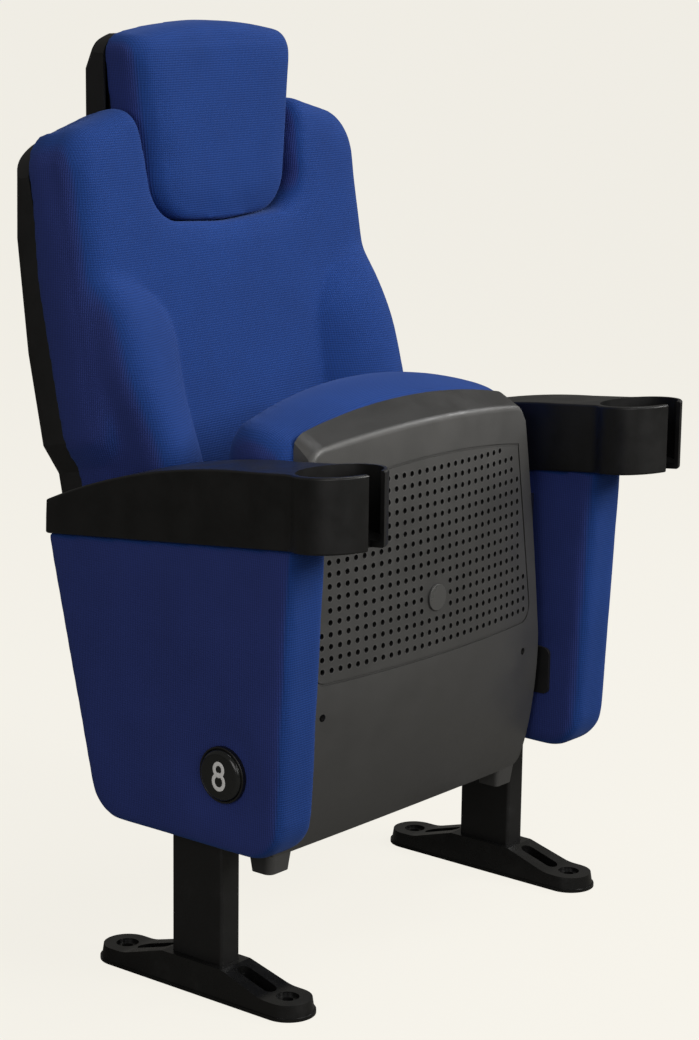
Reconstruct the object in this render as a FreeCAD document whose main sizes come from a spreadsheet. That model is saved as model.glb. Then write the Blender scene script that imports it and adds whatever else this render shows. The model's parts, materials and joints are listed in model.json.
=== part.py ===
import FreeCAD, Part
import math
import os
import Sketcher

Vector = FreeCAD.Vector
Placement = FreeCAD.Placement
Rotation = FreeCAD.Rotation
NO_TURN = Rotation()

doc = FreeCAD.newDocument("stadium_seat")

# Driving dimensions in millimetres and degrees. X runs to the right, the seat faces -Y,
# Z is the height above the floor. Depths named *_y are positions along Y.
SIZES = {
    # clearances
    "fit_gap": 0.3,
    "running_gap": 0.05,
    # feet
    "foot_length": 320,
    "foot_width": 65,
    "foot_lip": 4,
    "foot_ledge": 2,
    "foot_draft": 5,
    "foot_crown": 37,
    "foot_crown_half": 47,
    "foot_fall_half": 108,
    "foot_fall_round": 55,
    "foot_end_height": 19,
    "foot_socket_floor": 8,
    "foot_slot_length": 54,
    "foot_slot_width": 19,
    "foot_slot_reach": 80,
    "foot_slot_floor": 9,
    "foot_bolt_pitch": 254,
    "foot_bolt_radius": 6.5,
    "foot_recess_radius": 13.5,
    "foot_recess_depth": 4,
    # columns
    "column_pitch": 560,
    "column_y": -39,
    "column_width": 32,
    "column_depth": 78.5,
    "column_wall": 3,
    "column_corner": 4,
    # armrests
    "arm_pitch": 580,
    "arm_front_y": -295,
    "arm_rear_y": 179,
    "arm_front_bottom": 566,
    "arm_rear_bottom": 517,
    "arm_rear_top": 558,
    "arm_rear_lean": 4,
    "arm_hump_y": 0,
    "arm_hump_top": 616,
    "arm_shoulder_y": -148,
    "arm_shoulder_top": 637,
    "arm_cup_top": 651,
    "arm_half_width": 41,
    "arm_rear_half_width": 34,
    "arm_rear_corner": 12,
    "arm_neck_round": 26,
    "arm_edge_round": 2.5,
    "cup_radius": 53.5,
    "cup_wall": 5.5,
    "cup_floor": 6,
    "cup_slot_width": 27,
    "cup_slot_run": 20,
    # arm plates and their screws
    "arm_plate_thickness": 5,
    "arm_plate_width": 40,
    "arm_plate_front_y": -160,
    "arm_plate_rear_y": 80,
    "arm_screw_front_y": -130,
    "arm_screw_rear_y": 45,
    "arm_screw_radius": 3,
    "arm_screw_bite": 18,
    "arm_screw_head_radius": 5.5,
    "arm_screw_head": 4,
    # side panels
    "panel_thickness": 64,
    "panel_padding": 6,
    "panel_round": 17,
    "panel_front_top_y": -203,
    "panel_front_low_y": -184,
    "panel_rear_top_y": 179,
    "panel_rear_low_y": 101,
    "panel_bottom": 187,
    "panel_front_corner": 52,
    "panel_rear_corner": 40,
    # number disc
    "disc_y": -105,
    "disc_z": 282,
    "disc_radius": 30,
    "disc_thickness": 10,
    "disc_round": 6,
    "bezel_radius": 33,
    "bezel_thickness": 6,
    "bezel_round": 1.2,
    # seat pivots
    "pivot_y": -81,
    "pivot_z": 368,
    "pivot_pin_radius": 9,
    "bush_wall": 3,
    "boss_wall": 4,
    "bracket_thickness": 6,
    "bracket_bolt_radius": 4,
    "bracket_bolt_head_radius": 7,
    "bracket_bolt_head": 3,
    "bracket_bolt_bite": 9,
    "bracket_bolt_y": -25,
    "bracket_bolt_low": 352,
    "bracket_bolt_high": 426,
    "pivot_cover_thickness": 8,
    "pivot_cover_radius": 35,
    "pivot_cover_nose_y": -145,
    "pivot_cover_nose_low": 259,
    "pivot_cover_nose_high": 318,
    "spring_drum_radius": 24,
    "spring_drum_width": 5,
    "stop_reach": 32,
    "stop_angle": 20,
    "stop_pin_radius": 4,
    "stop_sleeve_wall": 2,
    "seat_travel": 80,
    "pivot_arm_thickness": 5,
    "pivot_arm_gap": 1.5,
    "pivot_arm_radius": 44,
    "pivot_arm_top": 518,
    "pivot_arm_front_y": -116,
    "pivot_arm_rear_y": -64,
    "pivot_arm_inset": 42,
    "pivot_flange_low": 405,
    # seat pan
    "pan_rim_y": -102,
    "pan_wall": 3.5,
    "pan_top_y": -145,
    "pan_belt_y": -157,
    "pan_flank_y": -144,
    "pan_toe_y": -106,
    "pan_belt_z": 365,
    "pan_flank_z": 260,
    "pan_bottom": 159,
    "pan_ridge": 651,
    "pan_ridge_fall": 17,
    "pan_ridge_span": 180,
    "pan_ridge_round": 9,
    "pan_lid_slope": 0.52,
    "pan_bow": 15,
    "pan_bow_span": 200,
    "pan_top_half": 209,
    "pan_top_side_z": 600,
    "pan_belt_half": 238,
    "pan_belt_side_z": 316,
    "pan_low_half": 243,
    "pan_top_corner": 24,
    "pan_low_corner": 14,
    "pan_ear_inner": 200,
    "pan_ear_bottom": 137,
    "pan_ear_top": 173,
    "pan_ear_rear_y": -68,
    "pan_ear_draft": 4,
    "pan_groove_low": 366,
    "pan_groove_high": 607,
    "pan_groove_low_half": 214,
    "pan_groove_high_half": 186,
    "pan_groove_width": 3,
    "pan_groove_depth": 1.6,
    "pan_hole_side": 6.4,
    "pan_hole_pitch": 14,
    "pan_hole_margin": 10,
    "medallion_z": 436,
    "medallion_radius": 16,
    "medallion_depth": 1.5,
    "medallion_stand": 1,
    "pan_screw_half": 196,
    "pan_screw_z": 327,
    "pan_screw_radius": 2.2,
    "pan_screw_head_radius": 4.2,
    "pan_screw_head": 3,
    "pan_screw_room": 0.4,
    "pan_screw_boss": 8,
    "pan_screw_seat": 6,
    # seat board and cushion
    "seat_board_thickness": 10,
    "seat_board_inset": 5,
    "seat_board_bottom": 208,
    "seat_board_top": 628,
    "seat_screw_radius": 3,
    "seat_screw_head_radius": 6,
    "seat_screw_head": 3,
    "seat_screw_bite": 8,
    "seat_cushion_depth": 104,
    "seat_cushion_bottom": 178,
    "seat_cushion_half": 234,
    "seat_cushion_top_half": 229,
    "seat_cushion_side_top": 655,
    "seat_cushion_crest": 690,
    "seat_cushion_corner": 30,
    "seat_cushion_drawn": 3,
    # back, in its own leaning frame
    "back_foot_y": 154.7,
    "back_foot_z": 430,
    "back_lean": 12.2,
    "back_half": 262,
    "back_low_half": 244,
    "back_low_height": 152,
    "back_shoulder": 545,
    "back_shoulder_inner": 577,
    "back_shoulder_corner": 52,
    "back_step_round": 14,
    "back_low_corner": 30,
    "back_notch_half": 145,
    "back_notch_taper": 16.5,
    "back_notch_low": 426.5,
    "back_notch_roll": 0.35,
    "back_notch_lip": 14,
    "back_shell_top": 545,
    "back_shell_depth": 60,
    "back_shell_bend": 300,
    "back_shell_upper": 437,
    "back_shell_upper_depth": 47.3,
    "back_shell_lip": 22,
    "back_shell_corner": 72,
    "back_shell_round": 20,
    "back_shell_wall": 4,
    "back_board_thickness": 10,
    "back_board_inset": 12,
    "back_board_top": 450,
    "back_cushion_front": 56,
    "back_cushion_lean": 2.2,
    "back_cushion_crown": 22,
    "bolster_inner": 120,
    "bolster_crest_share": 0.75,
    "bolster_outer": 252,
    "bolster_low_front": 114,
    "bolster_full_front": 126,
    "bolster_full_height": 150,
    "bolster_mid_front": 108,
    "bolster_mid_height": 262,
    "bolster_high_front": 91,
    "bolster_high_height": 336,
    "bolster_end_front": 62,
    "bolster_end_height": 398,
    # back brackets
    "back_bracket_thickness": 6,
    "back_bracket_front_y": -50,
    "back_bracket_rear_y": 212,
    "back_bracket_low": 468,
    "back_bracket_high": 512,
    "back_bracket_corner": 16,
    "back_bolt_front_y": -36,
    "back_bolt_rear_y": -10,
    "back_bolt_z": 490,
    "back_bolt_shell_y": 192,
    "back_bolt_shell_low": 482,
    "back_bolt_shell_high": 499,
    "back_bolt_radius": 4,
    "back_bolt_head_radius": 7,
    "back_bolt_head": 3,
    "back_spacer_radius": 9,
    # headrest
    "headrest_half_low": 119,
    "headrest_half_high": 147,
    "headrest_bottom": 858,
    "headrest_top": 1100,
    "headrest_side_top": 1088,
    "headrest_low_corner": 55,
    "headrest_sag": 9,
    "headrest_sag_round": 300,
    "headrest_high_corner": 24,
    "headrest_front_low_y": 184,
    "headrest_front_high_y": 199,
    "headrest_seam_y": 251,
    "headrest_crown": 16,
    "headrest_shell_rear_y": 290,
    "headrest_shell_bottom": 925,
    "headrest_shell_top": 1086,
    "headrest_shell_half": 146,
    "headrest_shell_corner": 36,
    "headrest_shell_round": 16,
    "headrest_board_inset": 10,
    "stay_half": 60,
    "stay_width": 30,
    "stay_thickness": 4,
    "stay_screw_radius": 2.5,
    "stay_screw_bite": 6,
    "stay_screw_head_radius": 5,
    "stay_screw_head": 3,
}

sheet = doc.addObject("Spreadsheet::Sheet", "Sizes")
for row, (alias, value) in enumerate(SIZES.items(), start=1):
    sheet.set("A%d" % row, alias)
    sheet.set("B%d" % row, str(value))
    sheet.setAlias("B%d" % row, alias)
doc.recompute()
s = sheet


# Outlines


def line(a, b):
    """Straight edge between two points of a sketch."""
    return Part.LineSegment(Vector(a[0], a[1], 0), Vector(b[0], b[1], 0))


def arc(a, b, c):
    """Arc from a through b to c in a sketch."""
    return Part.Arc(Vector(a[0], a[1], 0), Vector(b[0], b[1], 0), Vector(c[0], c[1], 0))


def rounded(corners):
    """Closed outline through corners (u, v, radius), each corner rounded by its radius."""
    edges = []
    count = len(corners)
    first_end = None
    last_end = None
    for index in range(count):
        u, v, radius = corners[index]
        here = Vector(u, v, 0)
        before = Vector(corners[index - 1][0], corners[index - 1][1], 0)
        after = Vector(corners[(index + 1) % count][0], corners[(index + 1) % count][1], 0)
        to_before = (before - here).normalize()
        to_after = (after - here).normalize()
        half = to_before.getAngle(to_after) / 2
        entry = here + to_before * (radius / math.tan(half))
        leave = here + to_after * (radius / math.tan(half))
        if last_end is None:
            first_end = entry
        else:
            edges.append(Part.LineSegment(last_end, entry))
        if radius > 0:
            towards = (to_before + to_after).normalize()
            middle = here + towards * (radius / math.sin(half) - radius)
            edges.append(Part.Arc(entry, middle, leave))
        last_end = leave
    edges.append(Part.LineSegment(last_end, first_end))
    return edges


def box(u_low, v_low, u_high, v_high):
    """Rectangle between two corners."""
    return rounded([(u_low, v_low, 0), (u_high, v_low, 0), (u_high, v_high, 0), (u_low, v_high, 0)])


def stadium(length, width, centre=0):
    """Slot outline with half-round ends, long along v."""
    r = width / 2
    c = length / 2 - r
    return [
        line((r, centre - c), (r, centre + c)),
        arc((r, centre + c), (0, centre + c + r), (-r, centre + c)),
        line((-r, centre + c), (-r, centre - c)),
        arc((-r, centre - c), (0, centre - c - r), (r, centre - c)),
    ]


# Document objects


def new_body(label):
    return doc.addObject("PartDesign::Body", label)


def sketch(body, plane, offset, edges):
    """Sketch on an origin plane of the body, moved along the plane's normal."""
    support = [item for item in body.Origin.OriginFeatures if item.Role == plane][0]
    made = body.newObject("Sketcher::SketchObject", body.Label + "_sketch")
    made.AttachmentSupport = [(support, "")]
    made.MapMode = "FlatFace"
    made.AttachmentOffset = Placement(Vector(0, 0, offset), NO_TURN)
    made.addGeometry(edges, False)
    return made


def add_circle(made, u, v, alias, gap=0.0):
    """Circle whose radius is bound to a named size, with a clearance."""
    radius = getattr(s, alias) + gap
    index = made.addGeometry(Part.Circle(Vector(u, v, 0), Vector(0, 0, 1), radius), False)
    made.addConstraint(Sketcher.Constraint("Radius", index, radius))
    bound = "Constraints[%d]" % (made.ConstraintCount - 1)
    made.setExpression(bound, "Sizes.%s * 1 mm + %r mm" % (alias, gap))


def pad(body, profile, length, both=False, down=False):
    """Pad by a bound length, to one side or to both."""
    made = body.newObject("PartDesign::Pad", body.Label + "_pad")
    made.Profile = profile
    made.setExpression("Length", length)
    made.SideType = "Symmetric" if both else "One side"
    made.Reversed = down
    body.Tip = made
    return made


def pocket(body, profile, length=None, both=False, ahead=False):
    """Pocket by a bound length, or right through when no length is given."""
    made = body.newObject("PartDesign::Pocket", body.Label + "_pocket")
    made.Profile = profile
    if length is None:
        made.Type = "ThroughAll"
    else:
        made.setExpression("Length", length)
    made.SideType = "Symmetric" if both or length is None else "One side"
    made.Reversed = ahead
    body.Tip = made
    return made


def fillet(body, radius, wanted):
    """Round the edges of the body's tip for which wanted(edge) holds."""
    doc.recompute()
    base = body.Tip
    names = []
    for index, edge in enumerate(base.Shape.Edges, start=1):
        if wanted(edge):
            names.append("Edge%d" % index)
    made = body.newObject("PartDesign::Fillet", body.Label + "_fillet")
    made.Base = (base, names)
    made.setExpression("Radius", radius)
    body.Tip = made
    return made


def place(made, x=None, y=None, z=None):
    """Bind the position of an object to expressions."""
    for axis, expression in (("x", x), ("y", y), ("z", z)):
        if expression is not None:
            made.setExpression("Placement.Base." + axis, expression)


def free_sketch(label, plane, offset, edges, tilt=0.0):
    """Sketch of its own on a plane of the frame, for lofts and extrusions."""
    made = doc.addObject("Sketcher::SketchObject", label)
    if plane == "XY":
        made.Placement = Placement(Vector(0, 0, offset), NO_TURN)
    elif plane == "XZ":
        made.Placement = Placement(Vector(0, offset, 0), Rotation(Vector(1, 0, 0), 90 + tilt))
    else:
        turn = Rotation(Vector(0, 0, 1), 90).multiply(Rotation(Vector(1, 0, 0), 90))
        made.Placement = Placement(Vector(offset, 0, 0), turn)
    made.addGeometry(edges, False)
    return made


def extrude(label, profile, direction, ahead, behind=0.0):
    """Prism from a sketch along a direction, lengths measured along it."""
    made = doc.addObject("Part::Extrusion", label)
    made.Base = profile
    made.DirMode = "Custom"
    made.Dir = direction
    made.LengthFwd = ahead
    made.LengthRev = behind
    made.Solid = True
    return made


def loft(label, sections):
    made = doc.addObject("Part::Loft", label)
    made.Sections = sections
    made.Solid = True
    made.Ruled = False
    return made


def cut(label, base, tool):
    made = doc.addObject("Part::Cut", label)
    made.Base = base
    made.Tool = tool
    return made


def common(label, shapes):
    made = doc.addObject("Part::MultiCommon", label)
    made.Shapes = shapes
    return made


def fuse(label, shapes):
    made = doc.addObject("Part::MultiFuse", label)
    made.Shapes = shapes
    return made


def group(label, shapes):
    made = doc.addObject("Part::Compound", label)
    made.Links = shapes
    return made


def rod(label, radius, length, start, axis):
    """Cylinder with bound radius and length, from a start point along an axis."""
    made = doc.addObject("Part::Cylinder", label)
    made.setExpression("Radius", radius)
    made.setExpression("Height", length)
    made.Placement = Placement(start, Rotation(Vector(0, 0, 1), axis))
    return made


def round_edges(label, base, radius, wanted):
    """Fillet the edges of a shape for which wanted(edge) holds."""
    doc.recompute()
    made = doc.addObject("Part::Fillet", label)
    made.Base = base
    edges = []
    for index, edge in enumerate(base.Shape.Edges, start=1):
        if wanted(edge):
            edges.append((index, radius, radius))
    made.Edges = edges
    return made


def screw(label, start, axis, size, grip):
    """Headed screw: start is under the head, axis points along the shank."""
    head = rod(label + "_head", "Sizes.%s_head_radius" % size, "Sizes.%s_head" % size, start, -axis)
    shank = rod(label + "_shank", "Sizes.%s_radius" % size, grip, start, axis)
    return fuse(label, [head, shank])


NODES = []


def node(made):
    """Keep a finished piece for the check and the export."""
    NODES.append(made)
    return made


def mirrored(source, label):
    """The same piece on the other side of the seat."""
    made = doc.addObject("Part::Mirroring", label)
    made.Source = source
    made.Base = Vector(0, 0, 0)
    made.Normal = Vector(1, 0, 0)
    return node(made)


def both_sides(made):
    """Keep the right-hand piece as a node and add its left-hand twin."""
    node(made)
    mirrored(made, made.Label.replace("right_", "left_", 1))


# Shared lines

CORNER_SLACK = 1 - math.sqrt(0.5)
SIDEWAYS = Vector(1, 0, 0)
REARWARD = Vector(0, 1, 0)
UPWARD = Vector(0, 0, 1)
ARM_SLOPE = (s.arm_front_bottom - s.arm_rear_bottom) / (s.arm_rear_y - s.arm_front_y)
COLUMN_X = s.column_pitch / 2
COLUMN_FACE = COLUMN_X - s.column_width / 2
PANEL_X = s.arm_pitch / 2
PANEL_INNER = PANEL_X - s.panel_thickness / 2
PLATE_X = (COLUMN_X + PANEL_X) / 2


def arm_underside(y):
    """Height of the sloping underside of the armrests at depth y."""
    return s.arm_rear_bottom + (s.arm_rear_y - y) * ARM_SLOPE


def panel_edge(foot_y, top_y, top_z, inset, z_gap):
    """Ends of a slanting panel edge: on the drawn-in bottom and under the armrest."""
    slope = (top_y - foot_y) / (top_z - s.panel_bottom)
    base = foot_y + inset - slope * s.panel_bottom
    low = s.panel_bottom + abs(inset)
    top_line = s.arm_rear_bottom + s.arm_rear_y * ARM_SLOPE + z_gap
    y = (base + slope * top_line) / (1 + slope * ARM_SLOPE)
    return (base + slope * low, low), (y, arm_underside(y) + z_gap)


def panel_outline(inset, top_gap):
    """Side outline of a panel, drawn in all round, its top following the armrest."""
    front_foot, front_top = panel_edge(
        s.panel_front_low_y, s.panel_front_top_y, s.arm_front_bottom, inset, top_gap
    )
    rear_foot, rear_top = panel_edge(
        s.panel_rear_low_y, s.panel_rear_top_y, s.arm_rear_bottom, -inset, top_gap
    )
    return rounded([
        front_foot + (s.panel_front_corner - inset,),
        rear_foot + (s.panel_rear_corner - inset,),
        rear_top + (0,),
        front_top + (0,),
    ])


# Feet

foot = new_body("right_foot")
place(foot, x="Sizes.column_pitch / 2", y="Sizes.column_y")
pad(foot, sketch(foot, "XY_Plane", 0, stadium(s.foot_length, s.foot_width)), "Sizes.foot_lip")
ledge = 2 * s.foot_ledge
draft = 2 * (s.foot_ledge + s.foot_draft)
low_ring = sketch(foot, "XY_Plane", s.foot_lip, stadium(s.foot_length - ledge, s.foot_width - ledge))
top_ring = sketch(foot, "XY_Plane", s.foot_crown, stadium(s.foot_length - draft, s.foot_width - draft))
skirt = foot.newObject("PartDesign::AdditiveLoft", "foot_skirt")
skirt.Profile = low_ring
skirt.Sections = [top_ring]
foot.Tip = skirt
for end in (-1, 1):
    fall = rounded([
        (end * s.foot_crown_half, s.foot_crown + 10, 0),
        (end * s.foot_crown_half, s.foot_crown, 0),
        (end * s.foot_fall_half, s.foot_end_height, s.foot_fall_round),
        (end * s.foot_length, s.foot_end_height - 2, 0),
        (end * s.foot_length, s.foot_crown + 10, 0),
    ])
    pocket(foot, sketch(foot, "YZ_Plane", 0, fall))
socket_half_x = s.column_width / 2 + s.fit_gap
socket_half_y = s.column_depth / 2 + s.fit_gap
socket = rounded([
    (-socket_half_x, -socket_half_y, s.column_corner),
    (socket_half_x, -socket_half_y, s.column_corner),
    (socket_half_x, socket_half_y, s.column_corner),
    (-socket_half_x, socket_half_y, s.column_corner),
])
pocket(foot, sketch(foot, "XY_Plane", s.foot_crown, socket), "Sizes.foot_crown - Sizes.foot_socket_floor")
troughs = sketch(foot, "XY_Plane", s.foot_crown, [])
for end in (-1, 1):
    troughs.addGeometry(stadium(s.foot_slot_length, s.foot_slot_width, end * s.foot_slot_reach), False)
pocket(foot, troughs, "Sizes.foot_crown - Sizes.foot_slot_floor")
recesses = sketch(foot, "XY_Plane", s.foot_crown, [])
bolt_holes = sketch(foot, "XY_Plane", 0, [])
for end in (-1, 1):
    add_circle(recesses, 0, end * s.foot_bolt_pitch / 2, "foot_recess_radius")
    add_circle(bolt_holes, 0, end * s.foot_bolt_pitch / 2, "foot_bolt_radius")
pocket(foot, recesses, "Sizes.foot_crown - Sizes.foot_end_height + Sizes.foot_recess_depth")
pocket(foot, bolt_holes)
both_sides(foot)

# Columns, cut to the slope of the armrests

column = new_body("right_column")
place(column, x="Sizes.column_pitch / 2", y="Sizes.column_y")
tube = sketch(column, "XY_Plane", s.foot_socket_floor, [])
for wall in (0, s.column_wall):
    half_x = s.column_width / 2 - wall
    half_y = s.column_depth / 2 - wall
    turn = s.column_corner - wall * 0.75
    tube.addGeometry(rounded([
        (-half_x, -half_y, turn),
        (half_x, -half_y, turn),
        (half_x, half_y, turn),
        (-half_x, half_y, turn),
    ]), False)
pad(column, tube, "Sizes.arm_front_bottom - Sizes.foot_socket_floor")
slant = []
for y, lift in ((-s.column_depth, 0), (s.column_depth, 0), (s.column_depth, 90), (-s.column_depth, 90)):
    slant.append((y, arm_underside(y + s.column_y) - s.arm_plate_thickness + lift, 0))
pocket(column, sketch(column, "YZ_Plane", 0, rounded(slant)))
column_holes = sketch(column, "YZ_Plane", 0, [])
for z in (s.bracket_bolt_low, s.bracket_bolt_high):
    add_circle(column_holes, s.bracket_bolt_y - s.column_y, z, "bracket_bolt_radius", s.fit_gap)
for y in (s.back_bolt_front_y, s.back_bolt_rear_y):
    add_circle(column_holes, y - s.column_y, s.back_bolt_z, "back_bolt_radius", s.fit_gap)
pocket(column, column_holes, "Sizes.column_width")
both_sides(column)

# Arm plates and armrest screws

plate = new_body("right_arm_plate")
plate.Placement.Base = Vector(PLATE_X, 0, 0)
slab = []
for y, drop in (
    (s.arm_plate_front_y, s.arm_plate_thickness),
    (s.arm_plate_rear_y, s.arm_plate_thickness),
    (s.arm_plate_rear_y, 0),
    (s.arm_plate_front_y, 0),
):
    slab.append((y, arm_underside(y) - drop, 0))
pad(plate, sketch(plate, "YZ_Plane", 0, rounded(slab)), "Sizes.arm_plate_width", both=True)
plate_holes = sketch(plate, "XY_Plane", 0, [])
for y in (s.arm_screw_front_y, s.arm_screw_rear_y):
    add_circle(plate_holes, 0, y, "arm_screw_radius", s.fit_gap)
pocket(plate, plate_holes)
both_sides(plate)

arm_screws = []
for side in (-1, 1):
    for y in (s.arm_screw_front_y, s.arm_screw_rear_y):
        under_head = arm_underside(y + s.arm_screw_head_radius) - s.arm_plate_thickness - s.fit_gap
        arm_screws.append(screw(
            "arm_screw_%d" % len(arm_screws),
            Vector(side * PLATE_X, y, under_head),
            UPWARD,
            "arm_screw",
            "Sizes.arm_plate_thickness + Sizes.arm_screw_bite",
        ))
node(group("armrest_screws", arm_screws))

# Armrests: curved top line, waisted plan, slotted cup ring at the front

CUP_Y = s.arm_front_y + s.cup_radius
armrest = new_body("right_armrest")
place(armrest, x="Sizes.arm_pitch / 2")
rear_top = (s.arm_rear_y - s.arm_rear_lean, s.arm_rear_top)
rear_foot = (s.arm_rear_y, s.arm_rear_bottom)
shoulder = (s.arm_shoulder_y, s.arm_shoulder_top)
front_top = (s.arm_front_y - 5, s.arm_cup_top)
front_foot = (s.arm_front_y - 5, arm_underside(s.arm_front_y - 5))
arm_side = [
    arc(rear_top, (s.arm_hump_y, s.arm_hump_top), shoulder),
    line(shoulder, front_top),
    line(front_top, front_foot),
    line(front_foot, rear_foot),
    line(rear_foot, rear_top),
]
pad(armrest, sketch(armrest, "YZ_Plane", 0, arm_side), "Sizes.cup_radius * 2 + 20", both=True)

# plan outline: cup circle joined to the arm by a hollow neck on both sides
neck_x = s.arm_half_width + s.arm_neck_round
reach = s.cup_radius + s.arm_neck_round
neck_y = CUP_Y + math.sqrt(reach ** 2 - neck_x ** 2)
touch = s.cup_radius / reach
meet = (neck_x * touch, CUP_Y + (neck_y - CUP_Y) * touch)
hollow_angle = (math.pi + math.atan2(CUP_Y - neck_y, -neck_x) + 2 * math.pi) / 2
if hollow_angle > math.pi * 1.5:
    hollow_angle -= math.pi
hollow = (
    neck_x + s.arm_neck_round * math.cos(hollow_angle),
    neck_y + s.arm_neck_round * math.sin(hollow_angle),
)
flank = (s.arm_half_width, neck_y)
turn = s.arm_rear_corner
rear_flank = (s.arm_rear_half_width, s.arm_rear_y + 3 - turn)
rear_arc = (s.arm_rear_half_width - turn * CORNER_SLACK, s.arm_rear_y + 3 - turn * CORNER_SLACK)
rear_end = (s.arm_rear_half_width - turn, s.arm_rear_y + 3)


def left_of(point):
    return (-point[0], point[1])


arm_plan = [
    arc(left_of(meet), (0, s.arm_front_y), meet),
    arc(meet, hollow, flank),
    line(flank, rear_flank),
    arc(rear_flank, rear_arc, rear_end),
    line(rear_end, left_of(rear_end)),
    arc(left_of(rear_end), left_of(rear_arc), left_of(rear_flank)),
    line(left_of(rear_flank), left_of(flank)),
    arc(left_of(flank), left_of(hollow), left_of(meet)),
]
margin = s.cup_radius + 40
surround = box(-margin, s.arm_front_y - 40, margin, s.arm_rear_y + 40)
pocket(armrest, sketch(armrest, "XY_Plane", 0, surround + arm_plan))


def on_arm_top(edge):
    """Edges of the curved top line, along the plan outline."""
    for point in edge.discretize(5):
        if point.y <= s.arm_shoulder_y:
            run = (s.arm_shoulder_y - point.y) / (s.arm_shoulder_y - s.arm_front_y + 5)
            top = s.arm_shoulder_top + (s.arm_cup_top - s.arm_shoulder_top) * run
        else:
            top = s.arm_shoulder_top - abs(point.y - s.arm_shoulder_y) * 0.4
        if point.z < top - 0.5:
            return False
    return abs(edge.BoundBox.XMin) > 1 or abs(edge.BoundBox.XMax) > 1


fillet(armrest, "Sizes.arm_edge_round", on_arm_top)
cup = sketch(armrest, "XY_Plane", s.arm_cup_top + 20, [])
add_circle(cup, 0, CUP_Y, "cup_radius", -s.cup_wall)
pocket(armrest, cup, "Sizes.arm_cup_top + 20 - Sizes.arm_front_bottom - Sizes.cup_floor")
half_slot = s.cup_slot_width / 2
slot = box(-half_slot, s.arm_front_y - 10, half_slot, s.arm_front_y + s.cup_slot_run)
pocket(armrest, sketch(armrest, "XY_Plane", 0, slot))
for y in (s.arm_screw_front_y, s.arm_screw_rear_y):
    pilot = sketch(armrest, "XY_Plane", arm_underside(y) - 10, [])
    add_circle(pilot, PLATE_X - PANEL_X, y, "arm_screw_radius", s.running_gap)
    pocket(armrest, pilot, "Sizes.arm_screw_bite + 12", ahead=True)
both_sides(armrest)

# Panel cores: sunk for the column, the arm plate and the screw heads

core = new_body("right_panel_core")
place(core, x="Sizes.arm_pitch / 2")
core_outline = sketch(core, "YZ_Plane", 0, panel_outline(s.panel_padding, -s.fit_gap))
pad(core, core_outline, "Sizes.panel_thickness - 2 * Sizes.panel_padding", both=True)
groove_x = COLUMN_X + s.column_width / 2 + s.fit_gap - PANEL_X
groove = box(-s.panel_thickness, s.column_y - socket_half_y, groove_x, s.column_y + socket_half_y)
pocket(core, sketch(core, "XY_Plane", 0, groove))
plate_bed = []
for y, lift in (
    (s.arm_plate_front_y - s.fit_gap, -s.arm_plate_thickness - s.fit_gap),
    (s.arm_plate_rear_y + s.fit_gap, -s.arm_plate_thickness - s.fit_gap),
    (s.arm_plate_rear_y + s.fit_gap, 20),
    (s.arm_plate_front_y - s.fit_gap, 20),
):
    plate_bed.append((y, arm_underside(y) + lift, 0))
bed_offset = PLATE_X - s.arm_plate_width / 2 - s.fit_gap - PANEL_X
bed = sketch(core, "YZ_Plane", bed_offset, rounded(plate_bed))
pocket(core, bed, "Sizes.arm_plate_width + 2 * Sizes.fit_gap", ahead=True)
for y in (s.arm_screw_front_y, s.arm_screw_rear_y):
    head_bed = sketch(core, "XY_Plane", arm_underside(y), [])
    add_circle(head_bed, PLATE_X - PANEL_X, y, "arm_screw_head_radius", 1.0)
    pocket(core, head_bed, "Sizes.arm_plate_thickness + Sizes.arm_screw_head + 3")
both_sides(core)

# Panel covers: upholstery wrapped round the core, open to the armrest above

cover = new_body("right_panel_cover")
place(cover, x="Sizes.arm_pitch / 2")
pad(cover, sketch(cover, "YZ_Plane", 0, panel_outline(0, -s.fit_gap)), "Sizes.panel_thickness", both=True)


def on_panel_rim(edge):
    """Edges round the two side faces, apart from the top."""
    bounds = edge.BoundBox
    flat = bounds.XLength < 0.01 and abs(abs(bounds.XMin) - s.panel_thickness / 2) < 0.01
    middle = edge.discretize(3)[1]
    return flat and middle.z < arm_underside(middle.y) - 2


fillet(cover, "Sizes.panel_round", on_panel_rim)
inside = sketch(cover, "YZ_Plane", 0, panel_outline(s.panel_padding - s.fit_gap, 30))
pocket(cover, inside, "Sizes.panel_thickness - 2 * Sizes.panel_padding + 2 * Sizes.fit_gap", both=True)
leg_x = COLUMN_X - PANEL_X
leg_hole = sketch(cover, "XY_Plane", s.panel_bottom - 10, box(
    leg_x - socket_half_x,
    s.column_y - socket_half_y,
    leg_x + socket_half_x,
    s.column_y + socket_half_y,
))
pocket(cover, leg_hole, "30", ahead=True)
BRACKET_FRONT = s.pivot_y - s.spring_drum_radius
BRACKET_REAR = s.bracket_bolt_y + s.bracket_bolt_head_radius + 10
BRACKET_LOW = s.bracket_bolt_low - s.bracket_bolt_head_radius - 10
BRACKET_HIGH = s.bracket_bolt_high + s.bracket_bolt_head_radius + 10


def bracket_outline(grow):
    """Outline of the pivot bracket on the column, grown by a clearance."""
    turn = s.spring_drum_radius * 0.75
    return rounded([
        (BRACKET_FRONT - grow, BRACKET_LOW - grow, turn),
        (BRACKET_REAR + grow, BRACKET_LOW - grow, 8),
        (BRACKET_REAR + grow, BRACKET_HIGH + grow, 8),
        (BRACKET_FRONT - grow, BRACKET_HIGH + grow, turn),
    ])


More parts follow.
